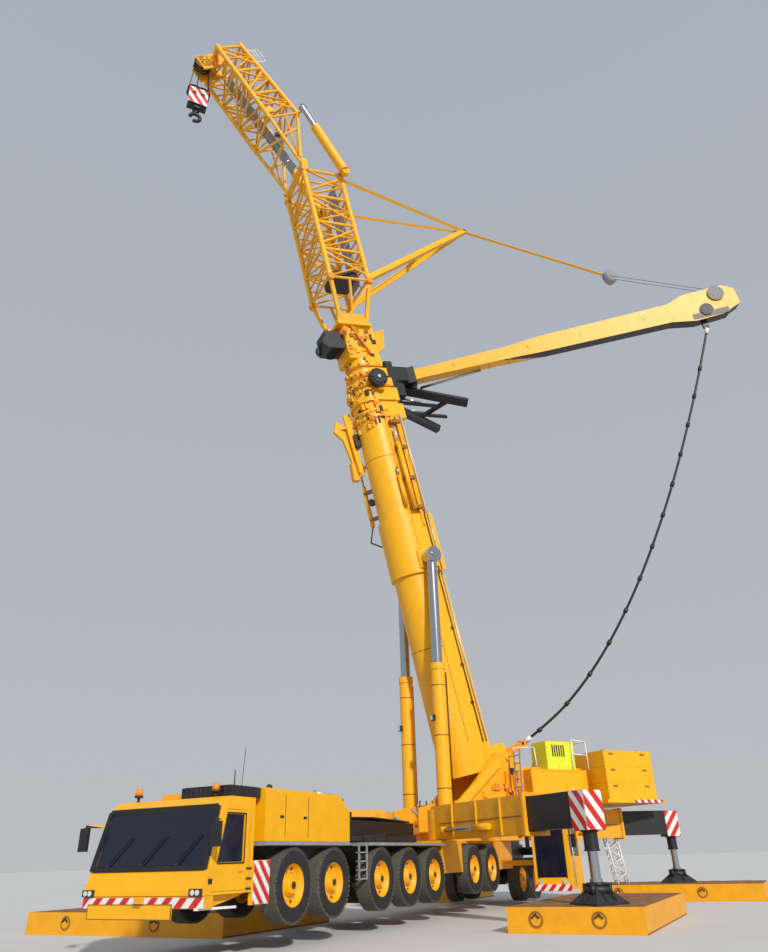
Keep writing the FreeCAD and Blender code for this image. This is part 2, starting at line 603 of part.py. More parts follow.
def lattice(x0, x1, bays, ends, name):
    """Straight four-chord lattice.
    ends: half width, top z, low z at x0 and at x1."""
    items, rows = [], []
    for i in range(bays + 1):
        q = i / float(bays)
        h, zt, zl = [ends[0][j] * (1 - q) + ends[1][j] * q for j in range(3)]
        x = x0 + (x1 - x0) * q
        rows.append([V(x, h, zt), V(x, -h, zt), V(x, -h, zl), V(x, h, zl)])
    for k in range(4):
        run = (rows[-1][k] - rows[0][k]).normalize() * 110
        items.append(rod("chord_radius", rows[0][k] - run, rows[-1][k] + run, "chord"))
    for row in rows:
        for k in range(4):
            step = V(-48 if k % 2 else 48, 0, 0)
            items.append(rod("brace_radius", row[k] + step, row[(k + 1) % 4] + step, "strut"))
    for i, (a, b) in enumerate(zip(rows, rows[1:])):
        for k in range(4):
            p, q = (a[k], b[(k + 1) % 4]) if i % 2 else (a[(k + 1) % 4], b[k])
            step = V(250 if k % 2 else 150, 0, 0)
            items.append(rod("brace_radius", p + step, q - step, "diagonal"))
    return items


mast_items = lattice(21200, 27500, 4, [(half, Z_TOP, Z_LOW), (half, Z_TOP, Z_LOW)], "jib_mast")
for y in (1, -1):
    for z, zf in ((Z_TOP, -800), (Z_LOW, -2050)):
        mast_items.append(box((260, 250, 250), (21000, y * half - 125, z - 125),
                              name="corner_block"))
        mast_items.append(bar(150, 150, (18980, y * 600, zf), (21100, y * half, z)))
    mast_items.append(bar(90, 90, (18980, y * 600, -1900), (21080, y * half, Z_TOP + 20)))
mast_items.append(box((150, 1500, 1650), (18900, -750, -2250), name="jib_foot"))
for y in (1, -1):
    mast_items.append(box((420, 190, 170), (27300, y * 1145 - 95, Z_LOW - 85),
                          name="ear_block"))
    mast_items.append(box((640, 50, 300), (27400, y * 1215 - 25, HINGE_Z - 150), name="ear"))
    mast_items.append(cyl(50, 130, (HINGE_X, 1100 if y > 0 else -1230, HINGE_Z), "y",
                          name="hinge_pin"))
    mast_items.append(cyl(60, 610, (JBASE_X, 1030 if y > 0 else -1640, JBASE_Z), "y",
                          name="cylinder_pin"))
# A-frame and its stay bars
apex = (26270, 0, 7290)
for y in (1, -1):
    mast_items.append(bar(230, 270, (21260, y * half, Z_TOP), apex))
mast_items.append(bar(160, 160, (23600, 590, 3240), (23600, -590, 3240)))
for y in (1, -1):
    mast_items.append(bar(120, 140, (apex[0], y * 60, apex[2]), (27200, y * half, Z_TOP)))
block_at = (20300, 4430, 11460)
mast_items.append(bar(110, 130, apex, block_at))
mast_items.append(cyl(330, 300, (block_at[0], block_at[1] - 150, block_at[2]), "y",
                      name="stay_block"))
node("jib_mast", [fuse(mast_items, "jib_mast_frame")], BOOM)

# jib head in its own frame: origin at the hinge, +X along the bent head
HEAD = BOOM.multiply(FreeCAD.Placement(V(HINGE_X, 0, HINGE_Z), spin(JIB_TILT, (0, 1, 0))))
head_items = lattice(2900, 7400, 3, [(half, 1750, 0), (half, 1390, 0)], "jib_head")
for y in (1, -1):
    head_items.append(rod(85, (10, y * 1000, 0), (2860, y * half, 0), "chord"))
    head_items.append(bar(130, 130, (300, y * half, 60), (2850, y * half, 1740)))
    head_items.append(rod("brace_radius", (1700, y * half, 0), (1950, y * half, 1080), "strut"))
    head_items.append(box((300, 140, 420), (3060, y * 1157 - 70, -23), name="cylinder_lug"))
head_items.append(rod("brace_radius", (1500, half, 0), (1500, -half, 0), "strut"))
head_items.append(rod("brace_radius", (1600, half, 0), (2750, -half, 0), "diagonal"))
head_items.append(cyl(90, 2360, (0, -1180, 0), "y", name="hinge_tube"))
for y in (330, -410):
    head_items.append(prism([(6900, -900), (7700, -900), (7800, 300), (7000, 900)], 80,
                            (0, y, 0), name="sheave_cheek"))
head_items.append(box((300, 1100, 300), (7250, -550, -150), name="sheave_beam"))
head_items.append(bar(130, 230, (7463, -half - 45, 21), (7463, half + 45, 21)))
head_items.append(bar(100, 100, (7300, -370, 700), (7300, 370, 700)))
head_items.append(cyl(340, 500, (7500, -250, -550), "y", name="head_sheave"))
head_items.append(cyl(60, 900, (7500, -450, -550), "y", name="sheave_pin"))
pin_bores = [cyl(53, 100, (0, y, 0), "y", name="pin_bore") for y in (1085, -1185)]
node("jib_head", [cut(fuse(head_items, "jib_head_frame"), pin_bores)], HEAD)

# jib cylinders
jlen = math.hypot(JEYE_X - JBASE_X, JEYE_Z - JBASE_Z)
jang = math.degrees(math.atan2(JEYE_Z - JBASE_Z, JEYE_X - JBASE_X))
JIBCYL = BOOM.multiply(FreeCAD.Placement(V(JBASE_X, 0, JBASE_Z), spin(-jang, (0, 1, 0))))
jb, jr = [], []
for y in (1, -1):
    yn = y * (half + 400)
    jb.append(cut(fuse([cyl(235, 2750, (100, yn, 0), "x", name="jib_barrel"),
                        cyl(200, 240, (0, yn - 120, 0), "y", name="barrel_eye")]),
                  [cyl(133, 2500, (450, yn, 0), "x", name="jib_bore"),
                   cyl(62, 400, (0, yn - 200, 0), "y", name="eye_bore")]))
    jr.append(fuse([cyl(130, jlen - 1900, (1900, yn, 0), "x", name="jib_ram"),
                    cyl(180, 200, (jlen, yn - 100, 0), "y", name="rod_eye"),
                    cyl(60, 365, (jlen, yn - (260 if y > 0 else 105), 0), "y",
                        name="eye_pin")]))
node("jib_cylinder_barrels", jb, JIBCYL)
node("jib_cylinder_rods", jr, JIBCYL)

# ---------------------------------------------------------------------------
# Guy mast on the base section collar
# ---------------------------------------------------------------------------
MAST_LEAN = 30.4        # mast turned to the boom's left
MAST_FOOT = V(16700, 0, 1260)
MAST = BOOM.multiply(FreeCAD.Placement(MAST_FOOT, spin(-MAST_LEAN, (1, 0, 0))))
mast_beam = prism([(-250, 0), (250, 0), (290, 3650), (300, 4550), (420, 6200), (470, 12300),
                   (760, 13100), (800, 15000), (500, 15500), (-300, 15500), (-650, 14600),
                   (-700, 13300), (-480, 12200), (-400, 6200), (-310, 4000)], 560,
                  (0, -280, 0), "xz", name="mast_beam")
root = box((800, 700, 900), (-400, -350, -700), name="mast_root")
lug = box((420, 120, 260), (-1020, -60, 13580), name="chain_lug")
in_mast = FreeCAD.Placement(MAST_FOOT, spin(-MAST_LEAN, (1, 0, 0)))
for o in (mast_beam, root, lug):
    o.Placement = in_mast.multiply(o.Placement)
# erecting struts beside the root, boom frame; columns: from, to, width
STRUTS = [
    ((16200, -300, 900), (15010, 780, 3390), 360),
    ((15500, -420, 0), (14290, -460, 2330), 300),
    ((14900, -440, 1500), (15350, 380, 2700), 160),
]
mast = [mast_beam, root, lug] + [bar(w, w, p, q) for p, q, w in STRUTS]
mast.append(box((2300, 900, 375), (14950, -450, -255), name="mast_saddle"))
mast.append(box((700, 700, 900), (16350, -350, 0), name="mast_pedestal"))

# Guy chain: slack line from the mast lug to the anchor arm, hanging in a
# vertical plane.  Depth below the top: slope * u - bend * u * u
chain_top = BOOM.multVec(in_mast.multVec(V(-1070, 0, 13710)))
chain_end = SUPER.multVec(V(-3920, 0, 5430))
flat = V(chain_end.x - chain_top.x, chain_end.y - chain_top.y, 0)
span, drop = flat.Length, chain_top.z - chain_end.z
heading = flat / span
BEND = 0.11475 / 1000.0
slope = drop / span + BEND * span
CHAIN_RUNS = 14


def chain_point(u):
    q = chain_top + heading * u
    return V(q.x, q.y, chain_top.z - slope * u + BEND * u * u)


fine = [chain_point(span * i / 2000.0) for i in range(2001)]
along = [0.0]
for p, q in zip(fine, fine[1:]):
    along.append(along[-1] + (q - p).Length)
route = []
for i in range(CHAIN_RUNS + 1):
    want = along[-1] * i / CHAIN_RUNS
    k = min(range(2001), key=lambda j: abs(along[j] - want))
    route.append(fine[k])
CHAIN_RADIUS = 50.0
edges, here, radii = [], route[0], []
for a, b, c in zip(route, route[1:], route[2:]):
    u, w = (b - a).normalize(), (c - b).normalize()
    half_turn = math.acos(max(-1.0, min(1.0, u.dot(w)))) / 2.0
    shorter = min((b - a).Length, (c - b).Length)
    trim = 0.45 * shorter
    radii.append(trim / math.tan(half_turn))
    p, q = b - u * trim, b + w * trim
    mid = b + (w - u).normalize() * (radii[-1] / math.cos(half_turn) - radii[-1])
    edges.append(Part.LineSegment(here, p).toShape())
    edges.append(Part.Arc(p, mid, q).toShape())
    here = q
edges.append(Part.LineSegment(here, route[-1]).toShape())
path = Part.Wire(edges)
chain_length = sum(e.Length for e in edges)
start = (route[1] - route[0]).normalize()
finish = (route[-1] - route[-2]).normalize()
print("guy chain length %.0f, radii %s" % (chain_length, [round(r) for r in radii]))
tube_shape = path.makePipeShell([Part.Wire(Part.makeCircle(CHAIN_RADIUS, route[0], start))],
                                True, True)
chain = new("Part::Feature", "chain_tube")
chain.Shape = Part.makeSolid(tube_shape) if tube_shape.ShapeType == "Shell" else tube_shape
print("chain volume %.5f against %.5f" % (chain.Shape.Volume / 1e9,
                                          math.pi * CHAIN_RADIUS ** 2 * chain_length / 1e9))
node("guy_chain", [chain])
for i, q in enumerate(route):
    print("route", i, [round(t) for t in q])

# sockets that the chain ends in, boom frame
back = BOOM.inverse()
turn_back = FreeCAD.Placement(V(0, 0, 0), BOOM.Rotation).inverse()


def socket(end, outward, length):
    a = back.multVec(end)
    b = a + turn_back.multVec(outward) * length
    return rod(75, tuple(a), tuple(b), "socket")


mast.append(socket(route[0], start * -1, 160))
node("guy_mast", [fuse(mast, "guy_mast_beam")], BOOM)

# ---------------------------------------------------------------------------
# Hook block, hanging plumb below the head sheave
# ---------------------------------------------------------------------------
sheave = HEAD.multVec(V(7500, 0, -550))
HOOK = FreeCAD.Placement(sheave, spin(SLEW))
hook = [box((900, 440, 1050), (-450, -220, -3100), name="block_plates"),
        cyl(120, 500, (0, 0, -3600), name="swivel")]
ring = new("Part::Torus", "hook_bow")
ring.Radius1 = 230
ring.Radius2 = 85
ring.Angle3 = 290
ring.Placement = FreeCAD.Placement(V(0, 0, -3850), FreeCAD.Rotation(V(1, 0, 0), 90))
hook.append(ring)
node("hook_block", [fuse(hook, "hook")], HOOK)

# ---------------------------------------------------------------------------
doc.recompute()
bad = []
for o in doc.Objects:
    if "Invalid" in o.State or "Error" in o.State:
        bad.append((o.Name, o.State))
for o in NODES:
    if o.Shape.isNull() or not o.Shape.isValid() or not o.Shape.Solids:
        bad.append((o.Label, "shape"))
if bad:
    raise RuntimeError("failed objects: %s" % bad)
total = 0.0
for o in NODES:
    box_ = o.Shape.BoundBox
    total += o.Shape.Volume
    print("%-28s solids %2d volume %8.3f m3  x %7.0f %7.0f y %7.0f %7.0f z %7.0f %7.0f" % (
        o.Label, len(o.Shape.Solids), o.Shape.Volume / 1e9, box_.XMin, box_.XMax, box_.YMin,
        box_.YMax, box_.ZMin, box_.ZMax))
    o.Shape.exportStep("parts/%s.step" % o.Label)
print("nodes", len(NODES), "volume", round(total / 1e9, 2), "luff", luff_length, luff_angle,
      "jib", jlen, jang, "sheave", sheave)
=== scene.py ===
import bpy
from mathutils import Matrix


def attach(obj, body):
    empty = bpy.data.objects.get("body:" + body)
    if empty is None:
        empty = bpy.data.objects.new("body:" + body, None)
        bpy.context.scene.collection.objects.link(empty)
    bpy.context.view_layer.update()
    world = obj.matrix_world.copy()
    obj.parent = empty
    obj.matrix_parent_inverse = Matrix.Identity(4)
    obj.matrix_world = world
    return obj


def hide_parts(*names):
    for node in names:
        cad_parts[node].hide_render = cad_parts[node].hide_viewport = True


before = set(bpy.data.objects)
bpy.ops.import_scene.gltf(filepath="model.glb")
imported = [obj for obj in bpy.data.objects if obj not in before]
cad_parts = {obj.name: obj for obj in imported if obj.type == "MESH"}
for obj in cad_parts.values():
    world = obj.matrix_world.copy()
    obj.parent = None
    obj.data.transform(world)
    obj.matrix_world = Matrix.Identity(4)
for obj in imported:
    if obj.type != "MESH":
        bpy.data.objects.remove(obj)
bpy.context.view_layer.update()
import math
import random
import bpy
import bmesh
from mathutils import Matrix, Vector

random.seed(7)
R = math.radians

# ---------------------------------------------------------------------------
# Local frames of the moving groups, in metres
# ---------------------------------------------------------------------------
CAR = Matrix.Identity(4)
SUP = Matrix.Rotation(R(-37), 4, "Z")
BOOM = SUP @ Matrix.Translation((-2.25, 0, 4.6)) @ Matrix.Rotation(R(-77), 4, "Y")
MAST = BOOM @ Matrix.Translation((16.7, 0, 1.26)) @ Matrix.Rotation(R(-30.4), 4, "X")
HEAD = BOOM @ Matrix.Translation((27.9, 0, -2.25)) @ Matrix.Rotation(R(25), 4, "Y")


def arm_frame(sx, sy):
    return Matrix.Translation((sx * 2.45, sy * 1.05, 0)) @ Matrix.Rotation(
        math.atan2(sy * 5.55, sx * 4.05), 4, "Z")


CORNERS = {"front_left": arm_frame(1, 1), "front_right": arm_frame(1, -1),
           "rear_left": arm_frame(-1, 1), "rear_right": arm_frame(-1, -1)}


# ---------------------------------------------------------------------------
# Materials
# ---------------------------------------------------------------------------
def material(name, color, rough=0.45, metal=0.0, noise=8.0, spread=0.12, dirt=0.0,
             dirt_color=(0.12, 0.07, 0.03), bump=0.0, coat=0.0, bump_scale=60.0):
    m = bpy.data.materials.new(name)
    m.use_nodes = True
    nt = m.node_tree
    b = nt.nodes["Principled BSDF"]
    b.inputs["Metallic"].default_value = metal
    b.inputs["Coat Weight"].default_value = coat
    tc = nt.nodes.new("ShaderNodeTexCoord")
    n1 = nt.nodes.new("ShaderNodeTexNoise")
    n1.inputs["Scale"].default_value = noise
    n1.inputs["Detail"].default_value = 5
    nt.links.new(tc.outputs["Object"], n1.inputs["Vector"])
    ramp = nt.nodes.new("ShaderNodeValToRGB")
    ramp.color_ramp.elements[0].position = 0.3
    ramp.color_ramp.elements[1].position = 0.75
    lo = [c * (1 - spread) for c in color]
    hi = [min(1.0, c * (1 + spread)) for c in color]
    ramp.color_ramp.elements[0].color = (*lo, 1)
    ramp.color_ramp.elements[1].color = (*hi, 1)
    nt.links.new(n1.outputs["Fac"], ramp.inputs["Fac"])
    out = ramp.outputs["Color"]
    if dirt > 0:
        n2 = nt.nodes.new("ShaderNodeTexNoise")
        n2.inputs["Scale"].default_value = 1.3
        n2.inputs["Detail"].default_value = 9
        n2.inputs["Roughness"].default_value = 0.65
        nt.links.new(tc.outputs["Object"], n2.inputs["Vector"])
        r2 = nt.nodes.new("ShaderNodeValToRGB")
        r2.color_ramp.elements[0].position = 0.56
        r2.color_ramp.elements[1].position = 0.8
        r2.color_ramp.elements[0].color = (0, 0, 0, 1)
        r2.color_ramp.elements[1].color = (dirt, dirt, dirt, 1)
        nt.links.new(n2.outputs["Fac"], r2.inputs["Fac"])
        mix = nt.nodes.new("ShaderNodeMix")
        mix.data_type = "RGBA"
        mix.inputs["B"].default_value = (*dirt_color, 1)
        nt.links.new(r2.outputs["Color"], mix.inputs["Factor"])
        nt.links.new(out, mix.inputs["A"])
        out = mix.outputs["Result"]
    nt.links.new(out, b.inputs["Base Color"])
    n3 = nt.nodes.new("ShaderNodeTexNoise")
    n3.inputs["Scale"].default_value = noise * 3
    nt.links.new(tc.outputs["Object"], n3.inputs["Vector"])
    mr = nt.nodes.new("ShaderNodeMapRange")
    mr.inputs["To Min"].default_value = max(0.03, rough - 0.08)
    mr.inputs["To Max"].default_value = min(1.0, rough + 0.1)
    nt.links.new(n3.outputs["Fac"], mr.inputs["Value"])
    nt.links.new(mr.outputs["Result"], b.inputs["Roughness"])
    if bump:
        bp = nt.nodes.new("ShaderNodeBump")
        bp.inputs["Strength"].default_value = bump
        bp.inputs["Distance"].default_value = 0.01
        n4 = nt.nodes.new("ShaderNodeTexNoise")
        n4.inputs["Scale"].default_value = bump_scale
        nt.links.new(tc.outputs["Object"], n4.inputs["Vector"])
        nt.links.new(n4.outputs["Fac"], bp.inputs["Height"])
        nt.links.new(bp.outputs["Normal"], b.inputs["Normal"])
    return m


YEL = material("paint_yellow", (0.90, 0.44, 0.002), 0.42, 0, 3.0, 0.05, 0.12)
YEL2 = material("paint_yellow_frame", (0.84, 0.38, 0.002), 0.45, 0, 3.0, 0.08, 0.22)
ORANGE = material("paint_orange", (0.80, 0.26, 0.012), 0.42, 0, 4.0, 0.12, 0.2)
BLACK = material("paint_black", (0.012, 0.012, 0.014), 0.42, 0, 6.0, 0.3, 0.12,
                 dirt_color=(0.05, 0.045, 0.04))
DARK = material("steel_dark", (0.035, 0.036, 0.038), 0.5, 0.3, 8.0, 0.3, 0.1)
GREY = material("paint_grey", (0.30, 0.31, 0.32), 0.5, 0.1, 8.0, 0.15, 0.15)
LIGHT = material("galvanised", (0.55, 0.57, 0.58), 0.42, 0.6, 14.0, 0.15, 0.1)
WHITE = material("paint_white", (0.78, 0.78, 0.76), 0.4, 0, 8.0, 0.06, 0.1)
RED = material("paint_red", (0.62, 0.02, 0.015), 0.35, 0, 8.0, 0.1, 0.05)
CHROME = material("chrome", (0.46, 0.48, 0.52), 0.2, 1.0, 20.0, 0.1)
RUBBER = material("tyre_rubber", (0.018, 0.018, 0.019), 0.75, 0, 14.0, 0.3, 0.45,
                  dirt_color=(0.10, 0.085, 0.07), bump=0.35)
TREAD = material("tyre_tread", (0.10, 0.095, 0.08), 0.85, 0, 14.0, 0.3, 0.5,
                 dirt_color=(0.20, 0.18, 0.15), bump=0.4)
RIM = material("rim_yellow", (0.92, 0.43, 0.002), 0.38, 0, 6.0, 0.1, 0.2)
GLASS = material("cab_glass", (0.006, 0.010, 0.026), 0.06, 0.0, 4.0, 0.1)
WOOD = material("mat_timber", (0.27, 0.13, 0.055), 0.8, 0, 5.0, 0.35, 0.5,
                dirt_color=(0.09, 0.05, 0.025), bump=0.5, bump_scale=25)
HIVIS = material("box_hivis", (0.72, 0.78, 0.03), 0.4, 0, 6.0, 0.08, 0.05)
TRIM = material("cab_trim", (0.02, 0.02, 0.022), 0.65, 0, 20.0, 0.3, bump=0.2)
AMBER = material("lamp_amber", (0.9, 0.27, 0.01), 0.15, 0, 20.0, 0.1, coat=0.6)
LAMP = material("lamp_clear", (0.75, 0.78, 0.8), 0.08, 0.3, 30.0, 0.15, coat=0.8)
# painted shade: the yellow paint as it looks in shadow, used for seams, recesses, openings and the
# undersides of lips
PAINTED_SHADE = material("painted_shade_on_yellow", (0.30, 0.12, 0.01), 0.5, 0, 5.0, 0.2, 0.3)
SEAT = material("seat_cloth", (0.03, 0.033, 0.04), 0.9, 0, 60.0, 0.4, bump=0.3)


# ---------------------------------------------------------------------------
# Mesh builder: one joined mesh per piece, several materials
# ---------------------------------------------------------------------------
class Piece:
    def __init__(self, name, frame_matrix=CAR):
        self.name, self.m = name, frame_matrix
        self.bm = bmesh.new()
        self.mats = []

    def mi(self, mat):
        if mat not in self.mats:
            self.mats.append(mat)
        return self.mats.index(mat)

    def _fin(self, geom, mat, smooth=False):
        i = self.mi(mat)
        for f in geom:
            f.material_index = i
            f.smooth = smooth

    def faces_of(self, verts):
        s = set(verts)
        return [f for v in verts for f in v.link_faces if all(w in s for w in f.verts)]

    def box(self, lo, hi, mat, bevel=0.0):
        r = bmesh.ops.create_cube(self.bm, size=1.0)
        c = [(a + b) / 2 for a, b in zip(lo, hi)]
        s = [max(1e-4, b - a) for a, b in zip(lo, hi)]
        bmesh.ops.transform(self.bm, matrix=Matrix.Translation(c) @ Matrix.Diagonal((*s, 1)),
                            verts=r["verts"])
        vs = r["verts"]
        faces = set(self.faces_of(vs))
        if bevel:
            edges = list({e for f in faces for e in f.edges})
            out = bmesh.ops.bevel(self.bm, geom=edges, offset=bevel, segments=2, affect="EDGES",
                                  profile=0.6)
            faces = set(out["faces"]) | {f for f in faces if f.is_valid}
            vs = list({v for f in faces for v in f.verts})
            faces = set(self.faces_of(vs))
        self._fin(faces, mat)
        return list(vs)

    def bar(self, a, b, w, d, mat, up=(0, 0, 1)):
        a, b = Vector(a), Vector(b)
        x = (b - a)
        n = x.length
        x.normalize()
        u = Vector(up)
        if abs(x.dot(u.normalized())) > 0.995:
            u = Vector((1, 0, 0)) if abs(x.x) < 0.9 else Vector((0, 1, 0))
        zz = (u - x * x.dot(u)).normalized()
        y = zz.cross(x)
        rot = Matrix((x, y, zz)).transposed().to_4x4()
        r = bmesh.ops.create_cube(self.bm, size=1.0)
        bmesh.ops.transform(self.bm, matrix=Matrix.Translation((a + b) / 2) @ rot @
                            Matrix.Diagonal((n, w, d, 1)), verts=r["verts"])
        self._fin(self.faces_of(r["verts"]), mat)
        return r["verts"]

    def rod(self, a, b, radius, mat, seg=10, r2=None, caps=True):
        a, b = Vector(a), Vector(b)
        d = b - a
        r = bmesh.ops.create_cone(self.bm, cap_ends=caps, segments=seg, radius1=radius,
                                  radius2=radius if r2 is None else r2, depth=d.length)
        rot = d.to_track_quat("Z", "Y").to_matrix().to_4x4()
        bmesh.ops.transform(self.bm, matrix=Matrix.Translation((a + b) / 2) @ rot,
                            verts=r["verts"])
        fs = self.faces_of(r["verts"])
        self._fin(fs, mat, True)
        for f in fs:
            if len(f.verts) > 4:
                f.smooth = False
        return r["verts"]

    def path(self, pts, radius, mat, seg=8):
        for a, b in zip(pts, pts[1:]):
            self.rod(a, b, radius, mat, seg)

    def prism(self, pts, lo, hi, plane, mat):
        """Outline extruded between lo and hi: plane names the outline's axes."""
        put = {"xz": lambda p, t: (p[0], t, p[1]), "xy": lambda p, t: (p[0], p[1], t),
               "yz": lambda p, t: (t, p[0], p[1])}[plane]
        a = [self.bm.verts.new(put(p, lo)) for p in pts]
        b = [self.bm.verts.new(put(p, hi)) for p in pts]
        fs = [self.bm.faces.new(a), self.bm.faces.new(b[::-1])]
        n = len(pts)
        for i in range(n):
            fs.append(self.bm.faces.new((a[i], b[i], b[(i + 1) % n], a[(i + 1) % n])))
        bmesh.ops.recalc_face_normals(self.bm, faces=fs)
        self._fin(fs, mat)
        return a + b

    def lathe(self, prof, at, axis, mat, seg=48, smooth=True, mats=None):
        """prof: (distance along the axis, radius)."""
        x = Vector(axis).normalized()
        rot = x.to_track_quat("Z", "Y").to_matrix()
        rings = []
        for d, r in prof:
            ring = []
            for k in range(seg):
                t = 2 * math.pi * k / seg
                ring.append(self.bm.verts.new(Vector(at) + rot @ Vector(
                    (r * math.cos(t), r * math.sin(t), d))))
            rings.append(ring)
        for j, (p, q) in enumerate(zip(rings, rings[1:])):
            fs = [self.bm.faces.new((p[k], p[(k + 1) % seg], q[(k + 1) % seg], q[k]))
                  for k in range(seg)]
            self._fin(fs, mats[j] if mats else mat, smooth)

    def stripes(self, lo, hi, axis, across, width, depth, face, slope=1.0, a=RED, b=WHITE):
        """Slanted two-colour band on a flat rectangle. axis and across: the rectangle's
        long and short axes (0 to 2), face: the value of the third."""
        third = 3 - axis - across
        l0, l1 = lo[axis], hi[axis]
        s0, s1 = lo[across], hi[across]
        h = s1 - s0
        plate = [0, 0, 0], [0, 0, 0]
        plate[0][axis], plate[1][axis] = l0, l1
        plate[0][across], plate[1][across] = s0, s1
        plate[0][third], plate[1][third] = sorted((face, face + depth))
        self.box(plate[0], plate[1], b)
        t = l0 - abs(h * slope)
        outer = face + depth + (0.003 if depth > 0 else -0.003)
        while t < l1 + abs(h * slope):
            quad = [(t, s0), (t + width, s0), (t + width + h * slope, s1), (t + h * slope, s1)]
            quad = clip(quad, l0, l1)
            if len(quad) > 2:
                vs = []
                for p, q in quad:
                    c = [0, 0, 0]
                    c[axis], c[across], c[third] = p, q, outer
                    vs.append(self.bm.verts.new(c))
                f = self.bm.faces.new(vs)
                self._fin([f], a)
            t += 2 * width

    def done(self, body, slot=None, replaces=()):
        me = bpy.data.meshes.new(self.name)
        bmesh.ops.transform(self.bm, matrix=self.m, verts=self.bm.verts[:])
        bmesh.ops.recalc_face_normals(self.bm, faces=self.bm.faces[:])
        self.bm.to_mesh(me)
        self.bm.free()
        for m in self.mats:
            me.materials.append(m)
        o = bpy.data.objects.new(self.name, me)
        bpy.context.scene.collection.objects.link(o)
        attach(o, body)
        if replaces:
            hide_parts(*replaces)
        return o


def clip(poly, lo, hi):
    """Polygon of (u, v) cut to lo <= u <= hi."""
    for bound, keep in ((lo, 1), (hi, -1)):
        out = []
        for i, p in enumerate(poly):
            q = poly[(i + 1) % len(poly)]
            pin, qin = (p[0] - bound) * keep >= 0, (q[0] - bound) * keep >= 0
            if pin:
                out.append(p)
            if pin != qin:
                t = (bound - p[0]) / (q[0] - p[0])
                out.append((bound, p[1] + t * (q[1] - p[1])))
        poly = out
        if not poly:
            break
    return poly


def paint(node, rule):
    """Give a CAD node its materials; rule: one material or a function of face centre
    and normal that returns one."""
    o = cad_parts[node]
    me = o.data
    me.materials.clear()
    if not callable(rule):
        me.materials.append(rule)
        for p in me.polygons:
            p.material_index = 0
        return o
    known = []
    for p in me.polygons:
        m = rule(p.center, p.normal)
        if m not in known:
            known.append(m)
            me.materials.append(m)
        p.material_index = known.index(m)
    return o


def local(frame_matrix):
    inv = frame_matrix.inverted()
    rot = inv.to_3x3()
    return lambda c: inv @ Vector(c), lambda n: rot @ Vector(n)


# ---------------------------------------------------------------------------
# Paint of the CAD nodes
# ---------------------------------------------------------------------------
AXLES = [(1, 11.3, 1.14), (2, 9.65, 1.14), (3, 7.3, 1.14), (4, 5.65, 1.14), (5, 4.0, 1.14),
         (6, 0.8, 1.22), (7, -0.85, 1.22), (8, -4.1, 0.78), (9, -5.75, 0.78)]
for number, x, z in AXLES:
    for side, s in (("left", 1), ("right", -1)):
        def rule(c, n, x=x, z=z):
            r = math.hypot(c.x - x, c.z - z)
            if r < 0.402:
                return RIM
            return TREAD if r > 0.655 else RUBBER
        paint("wheel_%d_%s" % (number, side), rule)
for name in ("carrier_axles", "knuckle_1_left", "knuckle_1_right", "knuckle_2_left",
             "knuckle_2_right"):
    paint(name, DARK)
paint("carrier_frame", lambda c, n: YEL2 if (c.x > 13.85 or -3.35 < c.x < 3.24) else BLACK)
paint("carrier_deck", lambda c, n: BLACK if c.z > 1.99 else GREY)
paint("engine_housing", lambda c, n: YEL)
paint("carrier_cab", lambda c, n: BLACK if (c.x > 13.98 and c.z > 1.75 and abs(c.y) > 1.45)
      else (BLACK if (c.x < 13.6 and c.z > 2.745) else YEL))
paint("carrier_cab_glass", GLASS)
paint("cab_door_left", YEL)
paint("cab_door_right", YEL)
paint("carrier_cab_interior", SEAT)
paint("outrigger_mats", lambda c, n: WOOD if (n.z > 0.9 and c.z < 0.53) else
      (DARK if c.z > 0.521 else YEL2))
paint("crane_cab", lambda c, n: YEL)
paint("turntable", lambda c, n: YEL2)
paint("counterweight", YEL)
for name in ("boom_base", "boom_section_1", "boom_section_2"):
    paint(name, YEL)
paint("luff_cylinder_barrels", YEL)
paint("luff_cylinder_rods", CHROME)
to_boom, to_boom_n = local(BOOM)


def nose_rule(c, n):
    p = to_boom(c)
    return DARK if (17.79 < p.x < 18.7 and p.z < -2.0 and abs(p.y) < 0.47) else YEL


paint("boom_section_3", nose_rule)


def jib_rule(c, n):
    p = to_boom(c)
    if p.x > 19.6 and (Vector((p.x - 20.3, p.y - 4.43, p.z - 11.46))).length < 0.5:
        return GREY
    return YEL


paint("jib_mast", jib_rule)
paint("jib_head", YEL)
paint("jib_cylinder_barrels", YEL)
paint("jib_cylinder_rods", CHROME)
to_mast, to_mast_n = local(MAST)


def mast_rule(c, n):
    p = to_mast(c)
    if p.z < 0.35 or to_boom(c).x < 16.36 or abs(p.y) > 0.32:
        return BLACK
    return YEL


paint("guy_mast", mast_rule)
paint("guy_chain", BLACK)
paint("hook_block", lambda c, n: WHITE if c.z > 33.78 else DARK)
for corner, m in CORNERS.items():
    inv, invn = local(m)
    paint("outrigger_arm_" + corner, YEL2)

    def beam_rule(c, n, inv=inv):
        p = inv(c)
        return BLACK
    paint("outrigger_beam_" + corner, beam_rule)
    paint("outrigger_jack_" + corner, CHROME)

